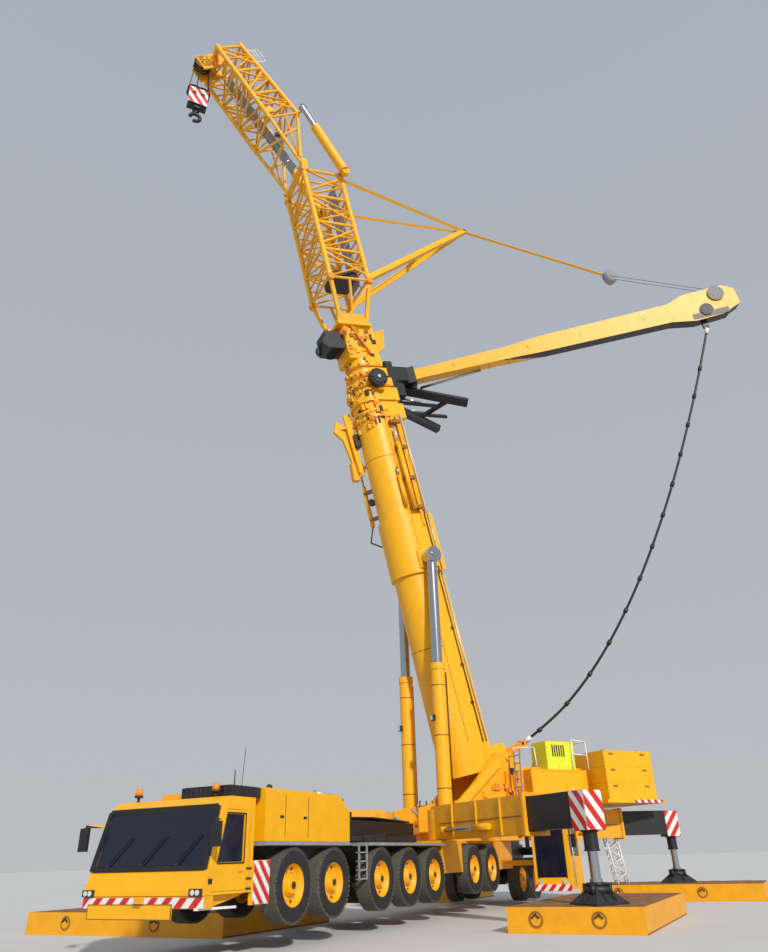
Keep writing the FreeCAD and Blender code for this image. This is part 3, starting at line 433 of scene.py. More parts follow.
# ---------------------------------------------------------------------------
# Camera, floor and light
# ---------------------------------------------------------------------------
scene = bpy.context.scene
cam_data = bpy.data.cameras.new("view")
cam_data.sensor_fit = "HORIZONTAL"
cam_data.sensor_width = 36.0
cam_data.lens = 740.0 / 768.0 * 36.0
cam_data.clip_end = 400
cam = bpy.data.objects.new("view", cam_data)
scene.collection.objects.link(cam)
yaw, pitch, roll = R(206.43), R(27.34), R(-1.64)
fwd = Vector((math.cos(yaw) * math.cos(pitch), math.sin(yaw) * math.cos(pitch), math.sin(pitch)))
right = Vector((math.sin(yaw), -math.cos(yaw), 0))
upv = right.cross(fwd)
r2 = right * math.cos(roll) + upv * math.sin(roll)
u2 = -right * math.sin(roll) + upv * math.cos(roll)
rot = Matrix((r2, u2, -fwd)).transposed()
cam.matrix_world = Matrix.Translation((26.04, 11.14, 1.58)) @ rot.to_4x4()
scene.camera = cam
scene.view_settings.view_transform = "Standard"

floor_me = bpy.data.meshes.new("floor")
bmf = bmesh.new()
bmesh.ops.create_grid(bmf, x_segments=1, y_segments=1, size=400)
bmf.to_mesh(floor_me)
bmf.free()
floor = bpy.data.objects.new("floor", floor_me)
scene.collection.objects.link(floor)
floor.location = (0, 0, -0.002)
fm = material("floor_pale", (0.62, 0.62, 0.61), 0.85, 0, 0.4, 0.03)
floor_me.materials.append(fm)

world = bpy.data.worlds.new("studio")
world.use_nodes = True
scene.world = world
wn = world.node_tree
bg = wn.nodes["Background"]
grad = wn.nodes.new("ShaderNodeTexGradient")
tcw = wn.nodes.new("ShaderNodeTexCoord")
mapw = wn.nodes.new("ShaderNodeMapping")
mapw.inputs["Rotation"].default_value = (0, R(90), 0)
wn.links.new(tcw.outputs["Generated"], mapw.inputs["Vector"])
wn.links.new(mapw.outputs["Vector"], grad.inputs["Vector"])
rampw = wn.nodes.new("ShaderNodeValToRGB")
rampw.color_ramp.elements[0].color = (0.80, 0.82, 0.85, 1)
rampw.color_ramp.elements[1].color = (0.60, 0.68, 0.80, 1)
wn.links.new(grad.outputs["Fac"], rampw.inputs["Fac"])
wn.links.new(rampw.outputs["Color"], bg.inputs["Color"])
bg.inputs["Strength"].default_value = 0.62

sun_data = bpy.data.lights.new("key", "SUN")
sun_data.energy = 3.0
sun_data.angle = R(3)
sun_data.color = (1.0, 0.95, 0.87)
sun = bpy.data.objects.new("key", sun_data)
scene.collection.objects.link(sun)
# light from the camera's right and above
sd = Vector((-0.60, -0.62, -0.50)).normalized()
sun.rotation_euler = sd.to_track_quat("-Z", "Y").to_euler()

# ---------------------------------------------------------------------------
# Tyre tread and wheel nuts, one mesh per wheel
# ---------------------------------------------------------------------------
for number, x, z in AXLES:
    for side, s in (("left", 1), ("right", -1)):
        w = Piece("tread_%d_%s" % (number, side), Matrix.Translation((x, s * 1.26, z)))
        n = 44
        for k in range(n):
            t = 2 * math.pi * k / n
            for j, (y0, y1) in enumerate(((-0.195, -0.07), (-0.055, 0.055), (0.07, 0.195))):
                tt = t + (0.5 if j == 1 else 0.0) * 2 * math.pi / n
                c, q = math.cos(tt), math.sin(tt)
                r = bmesh.ops.create_cube(w.bm, size=1.0)
                m = Matrix.Rotation(-tt, 4, "Y") @ Matrix.Translation(
                    (0.694, (y0 + y1) / 2, 0)) @ Matrix.Diagonal((0.016, y1 - y0, 0.066, 1))
                bmesh.ops.transform(w.bm, matrix=m, verts=r["verts"])
                w._fin(w.faces_of(r["verts"]), TREAD)
        for k in range(10):
            t = 2 * math.pi * k / 10
            a = (0.265 * math.cos(t), s * 0.055, 0.265 * math.sin(t))
            b = (0.265 * math.cos(t), s * 0.085, 0.265 * math.sin(t))
            w.rod(a, b, 0.018, LIGHT, 6)
        for k in range(5):
            t = 2 * math.pi * (k + 0.5) / 5
            a = (0.31 * math.cos(t), s * 0.052, 0.31 * math.sin(t))
            b = (0.31 * math.cos(t), s * 0.064, 0.31 * math.sin(t))
            w.rod(a, b, 0.035, DARK, 12)
        w.rod((0, s * 0.19, 0), (0, s * 0.20, 0), 0.07, DARK, 16)
        w.done("wheel_%d_%s" % (number, side), "tyre")

# ---------------------------------------------------------------------------
# Carrier: bumper, lamps, cab trim, steps, deck details
# ---------------------------------------------------------------------------
front = Piece("front_trim")
front.stripes((14.15, -1.45, 0.885), (14.15, 1.45, 1.055), 1, 2, 0.17, 0.012, 14.152, 0.9)
front.box((14.152, -1.3, 0.70), (14.178, 0.75, 0.95), YEL)
# painted shade: brown edging around the yellow front plate
for y0, y1, z0, z1 in ((-1.3, 0.75, 0.70, 0.715), (-1.3, 0.75, 0.935, 0.95), (-1.3, -1.285, 0.70, 0.95),
                       (0.735, 0.75, 0.70, 0.95)):
    front.box((14.168, y0, z0), (14.182, y1, z1), PAINTED_SHADE)
front.prism([(12.75, 1.08), (13.9, 1.08), (13.9, 0.86), (13.2, 0.98)], -1.3, 1.3, "xz", YEL2)
for s in (1, -1):
    front.box((14.14, s * 1.3 - 0.17, 1.07), (14.20, s * 1.3 + 0.12, 1.19), DARK, 0.01)
    for y in (-0.08, 0.03):
        front.rod((14.19, s * 1.3 + y, 1.13), (14.212, s * 1.3 + y, 1.13), 0.045, LAMP, 20)
    front.box((14.0, s * 1.36 - 0.05, 1.2), (14.1, s * 1.36 + 0.05, 1.28), AMBER)
    # pillars and window edging
    front.bar((14.115, s * 1.375, 1.50), (13.80, s * 1.36, 2.55), 0.10, 0.05, BLACK, (1, 0, 0.3))
front.bar((14.105, -1.35, 1.525), (14.105, 1.35, 1.525), 0.04, 0.09, BLACK, (0.29, 0, 1))
front.bar((13.80, -1.35, 2.545), (13.80, 1.35, 2.545), 0.05, 0.10, BLACK, (0.29, 0, 1))
for y in (-0.85, 0.0, 0.85):
    front.rod((14.12, y - 0.2, 1.54), (14.11, y - 0.12, 1.60), 0.02, BLACK, 8)
    front.bar((14.12, y - 0.16, 1.58), (13.965, y + 0.28, 2.08), 0.02, 0.02, BLACK, (1, 0, 0.3))
for y in (-1.0, 1.0):
    front.rod((13.48, y, 2.73), (13.48, y, 2.84), 0.03, DARK, 12)
    front.rod((13.48, y, 2.83), (13.48, y, 2.87), 0.085, DARK, 16)
    front.rod((13.48, y, 2.87), (13.48, y, 3.0), 0.08, AMBER, 20, 0.065)
# cover, grille and latches of the roof unit
front.box((12.45, 0.10, 2.953), (13.33, 1.25, 2.966), DARK, 0.004)
for i in range(9):
    front.box((13.376, 0.16 + 0.12 * i, 2.79), (13.386, 0.22 + 0.12 * i, 2.92), DARK)
front.rod((13.1, 1.15, 2.9), (13.1, 1.15, 3.25), 0.012, DARK, 6)
front.rod((12.95, 1.2, 2.7), (12.92, 1.25, 3.7), 0.006, DARK, 6)
front.box((13.2, -0.35, 2.735), (13.5, 0.05, 2.80), YEL2, 0.02)
# door gaps and lower sill
for s in (1, -1):
    front.box((12.84, s * 1.441 - 0.003, 1.12), (12.93, s * 1.441 + 0.003, 2.72), YEL2)
    front.box((13.97, s * 1.441 - 0.004, 1.26), (14.06, s * 1.441 + 0.02, 1.34), BLACK)
front.bar((14.2, 1.3, 0.87), (13.2, 1.42, 0.86), 0.05, 0.04, WHITE)
for s in (1, -1):
    # mirror glass
    front.box((14.14, s * 1.64 - 0.085, 1.87), (14.149, s * 1.64 + 0.085, 2.25), LAMP)
    # side boards
    yb = s * 1.40 + s * 0.046
    front.stripes((12.18, 0, 0.87), (12.72, 0, 1.61), 0, 2, 0.14, s * 0.006, yb, 0.9 * s)
    for zz in (1.13, 1.30, 1.47):
        front.box((12.80, s * 1.45 - 0.02, zz), (12.95, s * 1.45 + 0.015, zz + 0.03), DARK)
front.done("carrier", "yellow_paint")

for side, s in (("left", 1), ("right", -1)):
    g = Piece("window_" + side)
    g.prism([(13.065, 1.605), (13.812, 1.605), (13.597, 2.415), (13.065, 2.415)], s * 1.402,
            s * 1.412, "xz", GLASS)
    g.path([(13.04, s * 1.443, 1.58), (13.84, s * 1.443, 1.58), (13.615, s * 1.443, 2.44),
            (13.04, s * 1.443, 2.44), (13.04, s * 1.443, 1.58)], 0.014, BLACK, 6)
    g.box((13.08, s * 1.455 - 0.012, 1.45), (13.20, s * 1.455 + 0.012, 1.48), BLACK)
    g.done("door_" + side, "cab_glass")

deck = Piece("deck_trim")
for s in (1, -1):
    deck.box((3.26, s * 1.472 - 0.004, 1.885), (8.0, s * 1.472 + 0.004, 1.95), GREY)
    deck.box((8.96, s * 1.472 - 0.004, 1.885), (12.42, s * 1.472 + 0.004, 1.95), GREY)
    # step ladder between the second and third axle
    for y in (7.98, 8.38):
        deck.box((y, s * 1.40 - 0.02, 1.13), (y + 0.03, s * 1.40 + 0.02, 1.88), LIGHT)
    for i in range(4):
        deck.box((7.98, s * 1.40 - 0.08, 1.15 + i * 0.19), (8.41, s * 1.40 + 0.02,
                                                            1.175 + i * 0.19), LIGHT)
    # housing panel lines drawn as painted shade, and latches
    for x0 in (10.7, 11.6):
        deck.box((x0, s * 1.402 - 0.004, 2.05), (x0 + 0.02, s * 1.402 + 0.004, 2.85), PAINTED_SHADE)
        deck.box((x0 + 0.08, s * 1.402, 2.4), (x0 + 0.2, s * 1.402 + s * 0.01, 2.45), BLACK)
    # hand rail along the housing
    deck.rod((8.9, s * 1.2, 2.70), (8.9, s * 1.2, 2.96), 0.015, LIGHT, 8)
deck.rod((9.75, 0.95, 2.99), (9.0, 1.1, 2.90), 0.10, LIGHT, 20)
deck.rod((9.0, 1.1, 2.90), (8.80, 1.12, 2.86), 0.085, BLACK, 20)
deck.rod((12.15, 1.30, 2.90), (12.15, 1.36, 3.02), 0.09, BLACK, 16, 0.05)
deck.box((8.70, 0.6, 2.36), (8.86, 1.38, 2.62), BLACK, 0.02)
for k in range(40):
    sd_ = (1, -1)[k % 2]
    x0, z0 = random.uniform(3.3, 7.9), random.uniform(1.35, 1.8)
    deck.box((x0, sd_ * 0.66 - 0.06, z0), (x0 + random.uniform(0.08, 0.3), sd_ * 0.66 + 0.06,
                                          z0 + random.uniform(0.05, 0.2)), (DARK, BLACK)[k % 3 > 0])
# exhaust pipes behind the housing
for y in (0.75, 1.0):
    deck.rod((8.78, y, 2.0), (8.78, y, 2.70), 0.085, LIGHT, 20)
    deck.rod((8.78, y, 2.70), (8.75, y, 2.83), 0.065, LIGHT, 16)
# black boxes and hoses on the deck
for i in range(7):
    x0 = 3.4 + i * 0.68
    deck.box((x0, 0.50, 2.0), (x0 + 0.6, 0.64, 2.19 - 0.03 * (i % 3)), DARK, 0.02)
    deck.box((x0, -0.64, 2.0), (x0 + 0.6, -0.50, 2.19 - 0.04 * (i % 2)), DARK, 0.02)
for k in range(6):
    deck.path([(3.3, -0.4 + k * 0.15, 2.56), (5.5, -0.35 + k * 0.13, 2.62),
               (8.3, -0.3 + k * 0.12, 2.56)], 0.025, BLACK, 6)
deck.done("carrier", "black_steel")

# ---------------------------------------------------------------------------
# Outriggers
# ---------------------------------------------------------------------------
for corner, m in CORNERS.items():
    a = Piece("arm_trim_" + corner, m)
    for t in (1.25, 2.55, 3.75):
        for s in (1, -1):
            a.prism([(t, 2.06), (t + 0.05, 2.06), (t + 0.05, 2.99), (t, 2.99)], s * 0.34,
                    s * 0.385, "xz", YEL)
    for s in (1, -1):
        # painted shade: a strip along each side of the arm, under the flange lip
        a.box((0.5, s * 0.345 - 0.006, 2.47), (4.7, s * 0.345 + 0.006, 2.50), PAINTED_SHADE)
        a.rod((0.9, s * 0.44, 2.30), (2.5, s * 0.44, 2.30), 0.055, CHROME, 14)
        a.rod((2.5, s * 0.44, 2.30), (3.3, s * 0.44, 2.30), 0.085, YEL, 16)
        a.rod((0.88, s * 0.44, 2.22), (0.88, s * 0.44, 2.38), 0.09, YEL, 12)
    for t in (1.5, 2.9, 4.3):
        a.box((t, -0.1, 2.995), (t + 0.2, 0.1, 3.02), BLACK)
    a.done("arm_" + corner, "yellow_paint")
    b = Piece("beam_trim_" + corner, m)
    e = 6.871
    flip = -1 if corner in ("rear_left", "front_right") else 1
    for s in (1, -1):
        b.stripes((e - 0.255, 0, 2.06), (e + 0.255, 0, 2.925), 0, 2, 0.19, s * 0.008, s * 0.281,
                  0.8 * s * flip)
    b.stripes((0, -0.275, 2.06), (0, 0.275, 2.925), 1, 2, 0.19, 0.008, e + 0.261, -0.8 * flip)
    # chamfered top edges of the inner beam
    for s in (1, -1):
        b.prism([(s * 0.27, 2.90), (s * 0.22, 2.940), (s * 0.10, 2.940), (s * 0.10, 2.90)], 4.95,
                e - 0.26, "yz", BLACK)
    b.rod((e, 0, 2.02), (e, 0, 2.05), 0.21, BLACK, 24)
    b.rod((e, 0, 1.615), (e, 0, 1.66), 0.185, BLACK, 24)
    for s in (1, -1):
        b.rod((e - 0.75, s * 0.262, 2.55), (e - 0.75, s * 0.279, 2.55), 0.06, DARK, 14)
        b.rod((e - 0.15, s * 0.2, 2.92), (e - 0.15, s * 0.2, 2.98), 0.03, LAMP, 8)
    b.done("beam_" + corner, "black_steel")
    # foot plate dress on the mat
    p = Piece("foot_" + corner, m)
    for k in range(10):
        t = 2 * math.pi * k / 10 + 0.3
        c, q = math.cos(t), math.sin(t)
        p.bar((e + 0.16 * c, 0.16 * q, 0.84), (e + 0.44 * c, 0.44 * q, 0.60), 0.025, 0.10, DARK)
    p.rod((e, 0, 0.76), (e, 0, 0.90), 0.30, DARK, 24)
    p.rod((e, 0, 0.90), (e, 0, 0.972), 0.24, BLACK, 24)
    for k in range(4):
        t = math.pi * k / 2 + 0.5
        c, q = math.cos(t), math.sin(t)
        p.rod((e + 0.30 * c, 0.30 * q, 0.70), (e + 0.30 * c, 0.30 * q, 0.955), 0.05, BLACK, 10)
    p.done("carrier", "black_steel")

# boarding ladder that leans under the rear left arm, its feet on the mat
ld = Piece("ladder_rear", CORNERS["rear_left"])
for y in (-0.12, 0.12):
    ld.rod((4.46, y, 0.53), (4.22, y, 2.04), 0.026, WHITE, 8)
    ld.rod((4.86, y, 0.53), (4.66, y, 2.04), 0.026, WHITE, 8)
for i in range(6):
    z = 0.66 + 0.25 * i
    q = (z - 0.53) / 1.51
    xa, xb = 4.46 - 0.24 * q, 4.86 - 0.20 * q
    ld.bar((xa, 0, z), (xb, 0, z), 0.05, 0.02, LIGHT)
    for y in (-0.12, 0.12):
        ld.rod((xa, y, z), (xb, y, z), 0.014, LIGHT, 8)
        if i < 5:
            q2 = (z + 0.25 - 0.53) / 1.51
            xc, xd = 4.46 - 0.24 * q2, 4.86 - 0.20 * q2
            a, b = ((xa, xd), (xb, xc))[i % 2]
            ld.rod((a, y, z), (b, y, z + 0.25), 0.016, WHITE, 6)
    for x in (xa, xb):
        ld.rod((x, -0.12, z), (x, 0.12, z), 0.014, LIGHT, 8)
ld.done("carrier", "grey_paint")

# mats: timber boards and lifting eyes, with painted shade: rings around the eyes and thin strips along
# the foot of two edges
MATS = [(1.0, 7.2, 4.6, 7.7), (-8.0, -5.0, 3.3, 9.5), (4.6, 9.5, -8.4, -1.7),
        (-9.5, -4.6, -8.4, -1.7)]
mt = Piece("mat_trim")
for x0, x1, y0, y1 in MATS:
    long_x = (x1 - x0) > (y1 - y0)
    n = 16
    for i in range(n):
        if long_x:
            p0 = x0 + 0.12 + (x1 - x0 - 0.24) * i / n
            p1 = p0 + (x1 - x0 - 0.24) / n - 0.02
            mt.box((p0, y0 + 0.12, 0.515), (p1, y1 - 0.12, 0.526 + 0.004 * (i % 3)), WOOD)
        else:
            p0 = y0 + 0.12 + (y1 - y0 - 0.24) * i / n
            p1 = p0 + (y1 - y0 - 0.24) / n - 0.02
            mt.box((x0 + 0.12, p0, 0.515), (x1 - 0.12, p1, 0.526 + 0.004 * (i % 3)), WOOD)
    for cy in (y0 + 0.22 * (y1 - y0), y0 + 0.68 * (y1 - y0)):
        for cx, sg in ((x0, -1), (x1, 1)):
            # painted shade: a brown ring around each eye boss
            mt.rod((cx - sg * 0.01, cy, 0.27), (cx + sg * 0.010, cy, 0.27), 0.17, PAINTED_SHADE, 24)
            mt.rod((cx, cy, 0.27), (cx + sg * 0.016, cy, 0.27), 0.12, YEL2, 24)
            mt.path([(cx + sg * 0.03, cy - 0.09, 0.30), (cx + sg * 0.035, cy, 0.38),
                     (cx + sg * 0.03, cy + 0.09, 0.30)], 0.02, DARK, 8)
    # painted shadow: thin strips along the foot of two edges, where the mat meets the ground
    mt.box((x0 - 0.006, y0 - 0.006, 0.0), (x1 + 0.006, y0 + 0.006, 0.03), PAINTED_SHADE)
    mt.box((x0 - 0.006, y1 - 0.006, 0.0), (x1 + 0.006, y1 + 0.006, 0.03), PAINTED_SHADE)
mt.done("carrier", "mat_wood")

# ---------------------------------------------------------------------------
# Operator's cab
# ---------------------------------------------------------------------------
CX, CY = -1.0, 3.57
cc = Piece("crane_cab_trim")
cc.box((CX + 0.385, CY - 0.45, 0.90), (CX + 0.395, CY + 0.45, 2.46), GLASS)
for s in (1, -1):
    cc.box((CX - 1.0, CY + s * 0.575 - 0.004, 1.5), (CX + 0.1, CY + s * 0.575 + 0.004, 2.4), GLASS)
    cc.box((CX + 0.38, CY + s * 0.47 - 0.02, 0.88), (CX + 0.41, CY + s * 0.47 + 0.02, 2.5), BLACK)
    cc.rod((CX + 0.41, CY + s * 0.40, 0.78), (CX + 0.46, CY + s * 0.40, 0.78), 0.06, LAMP, 16)
    cc.rod((CX + 0.05, CY + s * 0.66, 0.7), (CX + 0.05, CY + s * 0.66, 2.3), 0.018, LIGHT, 8)
    cc.box((CX + 0.25, CY + s * 0.78 - 0.07, 1.75), (CX + 0.29, CY + s * 0.78 + 0.07, 2.15), BLACK,
           0.01)
    cc.rod((CX + 0.25, CY + s * 0.6, 2.1), (CX + 0.27, CY + s * 0.78, 2.1), 0.012, BLACK, 6)
cc.stripes((CX + 0.46, CY - 0.61, 0.525), (CX + 0.46, CY + 0.61, 0.715), 1, 2, 0.15, 0.008,
           CX + 0.461, 0.9)
cc.bar((CX + 0.415, CY - 0.3, 1.0), (CX + 0.415, CY + 0.2, 1.75), 0.02, 0.02, BLACK, (1, 0, 0))
for i in range(5):
    cc.rod((CX - 0.2, CY + 0.66, 0.7 + i * 0.3), (CX + 0.05, CY + 0.66, 0.7 + i * 0.3), 0.014,
           LIGHT, 8)
cc.done("carrier", "yellow_paint")

# ---------------------------------------------------------------------------
# Superstructure details
# ---------------------------------------------------------------------------
sp = Piece("superstructure_trim", SUP)
for s in (1, -1):
    sp.bar((-1.9, s * 1.02, 4.55), (-0.1, s * 1.02, 3.05), 0.14, 0.30, YEL, (1, 0, 1))
    for i in range(5):
        sp.bar((-2.9 + i * 0.17, s * 0.98, 3.3), (-2.9 + i * 0.17, s * 0.98, 4.25), 0.05, 0.05,
               ORANGE)
    # hoses and valve blocks at the side
    for i in range(6):
        sp.box((-3.0 + 0.16 * i, s * 0.99 - 0.04, 3.45 + 0.1 * (i % 3)),
               (-2.9 + 0.16 * i, s * 0.99 + 0.06, 3.6 + 0.12 * (i % 3)), ORANGE)
# small fittings in the paint colours, some in painted shade brown
for k in range(70):
    s = (1, -1)[k % 2]
    x, z = random.uniform(-2.9, 0.6), random.uniform(2.5, 4.3)
    if z > 3.2 + max(0.0, (-0.3 - x)) * 1.0:
        z = 2.45 + random.uniform(0, 0.6)
    if x < -1.9:
        z = max(z, 3.2) + random.uniform(0, 0.6)
    sz = random.uniform(0.05, 0.2)
    sp.box((x, s * 0.945 - 0.05, z), (x + sz, s * 0.945 + 0.06, z + sz),
           (YEL, ORANGE, PAINTED_SHADE, DARK, YEL2)[k % 5])
for s in (1, -1):
    for k in range(4):
        sp.path([(-1.0 + 0.3 * k, s * 0.955, 2.5), (-0.6 + 0.3 * k, s * 0.965, 3.0),
                 (-0.5 + 0.25 * k, s * 0.955, 3.4)], 0.025, DARK, 8)
    sp.rod((0.9, s * 0.7, 2.6), (1.6, s * 0.92, 3.0), 0.05, GREY, 10)
# grey ladder
for y in (1.40, 1.75):
    sp.bar((-2.3, y, 3.30), (-2.36, y, 4.90), 0.05, 0.04, GREY, (1, 0, 0))
for i in range(6):
    sp.rod((-2.31 - 0.01 * i, 1.40, 3.42 + i * 0.26), (-2.31 - 0.01 * i, 1.75, 3.42 + i * 0.26),
           0.02, GREY, 8)
for pts in ([(-2.4, 1.35, 4.3), (-2.4, 1.35, 5.0), (-3.3, 1.35, 5.05), (-3.35, 1.35, 4.3)],
            [(-4.9, 1.45, 4.3), (-4.95, 1.45, 5.35), (-5.6, 1.45, 5.30), (-5.62, 1.45, 4.3)],
            [(-4.9, 1.45, 4.85), (-5.6, 1.45, 4.82)],
            [(-5.6, 1.45, 5.30), (-5.65, 0.4, 5.32), (-5.65, 0.4, 4.3)]):
    sp.path(pts, 0.022, WHITE, 8)
# winch box in high-visibility paint with slats
sp.box((-5.06, 0.49, 4.29), (-3.79, 1.41, 5.26), HIVIS, 0.02)
for i in range(6):
    sp.box((-4.6 + i * 0.1, 1.41, 4.75), (-4.55 + i * 0.1, 1.42, 5.15), BLACK)
sp.box((-5.0, 0.52, 5.255), (-3.85, 1.38, 5.29), YEL)
# painted shade: a brown band across the turntable
sp.box((-3.1, -0.86, 4.14), (-2.95, 0.86, 4.25), PAINTED_SHADE)
# side panels
for s in (1, -1):
    y0 = 1.432 if s > 0 else -1.432
    sp.box((-5.4, y0 - 0.004, 3.35), (-4.5, y0 + 0.004, 4.2), YEL)
    sp.box((-4.45, y0 - 0.004, 3.35), (-3.1, y0 + 0.004, 4.2), YEL)
# rope on the winch drum
sp.lathe([(0, 0.39), (0.9, 0.39)], (-4.0, -0.45, 3.75), (0, 1, 0), DARK, 32)
sp.done("turntable", "yellow_paint")

cw = Piece("counterweight_trim", SUP)
for s in (1, -1):
    y = s * 2.2
    cw.stripes((-8.25, 0, 3.16), (-6.9, 0, 3.265), 0, 2, 0.16, s * 0.006, y + s * 0.001, 0.8)
    for z0 in (3.32, 3.87, 4.42):
        # painted shade: small brown patches for recesses on the counterweight flanks
        cw.box((-7.7, y - 0.004, z0 + 0.36), (-7.5, y + s * 0.014, z0 + 0.42), PAINTED_SHADE)
        cw.box((-6.2, y - 0.004, z0 + 0.36), (-6.0, y + s * 0.014, z0 + 0.42), PAINTED_SHADE)
for y in (-1.8, 1.8):
    for x in (-6.1, -7.7):
        cw.rod((x, y, 4.93), (x, y, 4.99), 0.09, DARK, 14)
cw.done("turntable", "yellow_paint")

# ---------------------------------------------------------------------------
# Boom details
# ---------------------------------------------------------------------------
bm_ = Piece("boom_trim", BOOM)
for s in (1, -1):
    y = s * 0.802
    # painted shade: brown lines along the flanks
    bm_.box((0.9, y - 0.004, -1.22), (14.9, y + 0.004, -1.20), PAINTED_SHADE)
    bm_.box((7.3, s * 0.912 - 0.003, -1.24), (9.7, s * 0.912 + 0.003, -1.22), PAINTED_SHADE)
    for i in range(5):
        bm_.box((10.2 + i * 0.95, y - 0.004, -0.60), (10.5 + i * 0.95, y + 0.006, -0.52), PAINTED_SHADE)
# painted shade: brown rings at the section seams
for x in (4.4, 12.4):
    bm_.lathe([(0, 0.803), (0.03, 0.803)], (x, 0, -1.25), (1, 0, 0), PAINTED_SHADE, 48)
# pipes and small cylinders on the flanks
bm_.path([(0.8, 0.825, -0.45), (7.1, 0.825, -0.45), (7.3, 0.95, -0.45), (9.8, 0.95, -0.45),
          (10.0, 0.84, -0.45), (14.3, 0.84, -0.45)], 0.03, LIGHT, 10)
bm_.path([(0.8, 0.825, -0.60), (7.1, 0.825, -0.60), (7.3, 0.95, -0.60), (9.8, 0.95, -0.60),
          (10.0, 0.84, -0.60), (14.3, 0.84, -0.60)], 0.022, BLACK, 8)
bm_.rod((9.9, -0.90, -2.0), (11.7, -0.90, -2.0), 0.09, YEL, 18)
bm_.rod((11.7, -0.90, -2.0), (12.2, -0.90, -2.0), 0.05, CHROME, 14)
bm_.rod((10.1, 0.92, -1.3), (11.4, 0.92, -1.3), 0.08, YEL, 18)
bm_.rod((11.4, 0.92, -1.3), (11.8, 0.92, -1.3), 0.045, CHROME, 14)
# collar ribs and bolts
for x in (14.25, 14.55, 15.02, 15.35, 15.6):
    bm_.lathe([(0, 0.895), (0.05, 0.895)], (x - 0.025, 0, -1.25), (1, 0, 0), YEL, 48)
# black drum beside the collar
bm_.rod((15.92, 0.98, -1.22), (15.92, 1.22, -1.22), 0.42, BLACK, 32)
bm_.rod((15.92, 1.22, -1.22), (15.92, 1.25, -1.22), 0.30, DARK, 28)
for k in range(8):
    t = math.pi * k / 4
    bm_.bar((15.92, 1.235, -1.22), (15.92 + 0.40 * math.cos(t), 1.235, -1.22 + 0.40 * math.sin(t)),
            0.03, 0.05, DARK, (0, 1, 0))
bm_.rod((15.92, 1.24, -1.22), (15.92, 1.28, -1.22), 0.07, LAMP, 16)
bm_.bar((15.4, 1.0, -1.1), (16.1, 1.0, -1.18), 0.12, 0.3, YEL)
bm_.prism([(12.0, -2.1), (15.0, -2.1), (14.9, -2.45), (12.2, -2.3)], -0.5, -0.4, "xz", YEL)
# small fittings in the paint colours, some in painted shade brown
for k in range(90):
    x = random.uniform(13.7, 15.55)
    t = random.uniform(R(-95), R(95))
    r = 0.83 if x < 15.0 else 0.92
    sz = random.uniform(0.04, 0.16)
    y, z = r * math.sin(t), -1.25 - r * math.cos(t)
    if abs(t) > R(88):
        z = random.uniform(-1.2, -0.5)
        y = math.copysign(r, t)
    mat = (YEL, YEL2, ORANGE, PAINTED_SHADE, YEL2, DARK, YEL)[k % 7]
    bm_.box((x, y - sz / 2, z - sz / 2), (x + random.uniform(0.06, 0.35), y + sz / 2, z + sz / 2), mat)
# hanging brackets on the far flank
bm_.prism([(12.3, -1.9), (14.4, -2.2), (14.7, -2.75), (14.2, -2.95), (13.8, -2.6), (12.4, -2.35)],
          -0.75, -0.60, "xz", YEL)
bm_.prism([(11.9, -2.25), (12.7, -2.2), (12.7, -2.5), (11.9, -2.55)], -0.8, -0.55, "xz", YEL2)
bm_.box((13.3, -0.55, -2.25), (13.9, -0.2, -2.0), DARK, 0.02)
bm_.path([(9.9, -0.9, -2.0), (9.2, -0.85, -2.3), (8.9, -0.62, -1.95)], 0.03, BLACK, 8)
bm_.bar((14.35, -0.4, -1.9), (14.35, -0.68, -2.6), 0.25, 0.12, YEL2, (1, 0, 0))
bm_.bar((12.45, -0.45, -1.85), (12.45, -0.68, -2.3), 0.18, 0.10, YEL2, (1, 0, 0))
# painted shade: brown bars for brackets in shadow
bm_.bar((10.2, -0.55, -1.75), (10.2, -0.9, -2.02), 0.30, 0.08, PAINTED_SHADE, (1, 0, 0))
bm_.bar((11.4, -0.55, -1.75), (11.4, -0.9, -2.02), 0.30, 0.08, PAINTED_SHADE, (1, 0, 0))
bm_.rod((10.8, -0.5, -2.0), (10.8, -0.35, -2.12), 0.14, BLACK, 14)
# long stowed cylinder and its rail on the near flank
bm_.rod((9.9, 1.02, -1.0), (12.9, 1.0, -1.0), 0.10, YEL, 18)
bm_.rod((12.9, 1.0, -1.0), (13.6, 1.0, -1.0), 0.055, LIGHT, 14)
bm_.bar((9.2, 0.93, -0.72), (14.2, 0.93, -0.72), 0.08, 0.12, YEL2)
for x in (9.9, 11.2, 12.6, 13.8):
    # painted shade: brown brackets under the rail
    bm_.box((x, 0.80, -1.12), (x + 0.14, 1.05, -0.62), PAINTED_SHADE)
# openings on the flat of the flank, drawn as discs of painted shade
for s in (1, -1):
    for x in (2.2, 3.6, 5.0):
        bm_.rod((x, s * 0.80, -0.62), (x, s * 0.806, -0.62), 0.09, PAINTED_SHADE, 20)
# black stow frames behind the collar
for z0, y0, ln in ((0.35, -0.62, 2.3), (-0.1, 0.30, 1.7)):
    bm_.bar((15.2, y0, z0 + 0.2), (14.75, y0 + 0.55, z0 + ln), 0.12, 0.40, BLACK)
    bm_.rod((15.35, y0 + 0.1, z0 + 0.3), (15.0, y0 + 0.4, z0 + ln * 0.6), 0.05, CHROME, 12)
bm_.box((15.45, -0.5, -0.16), (16.1, 0.5, 0.45), BLACK, 0.03)
bm_.done("boom_base", "yellow_paint")

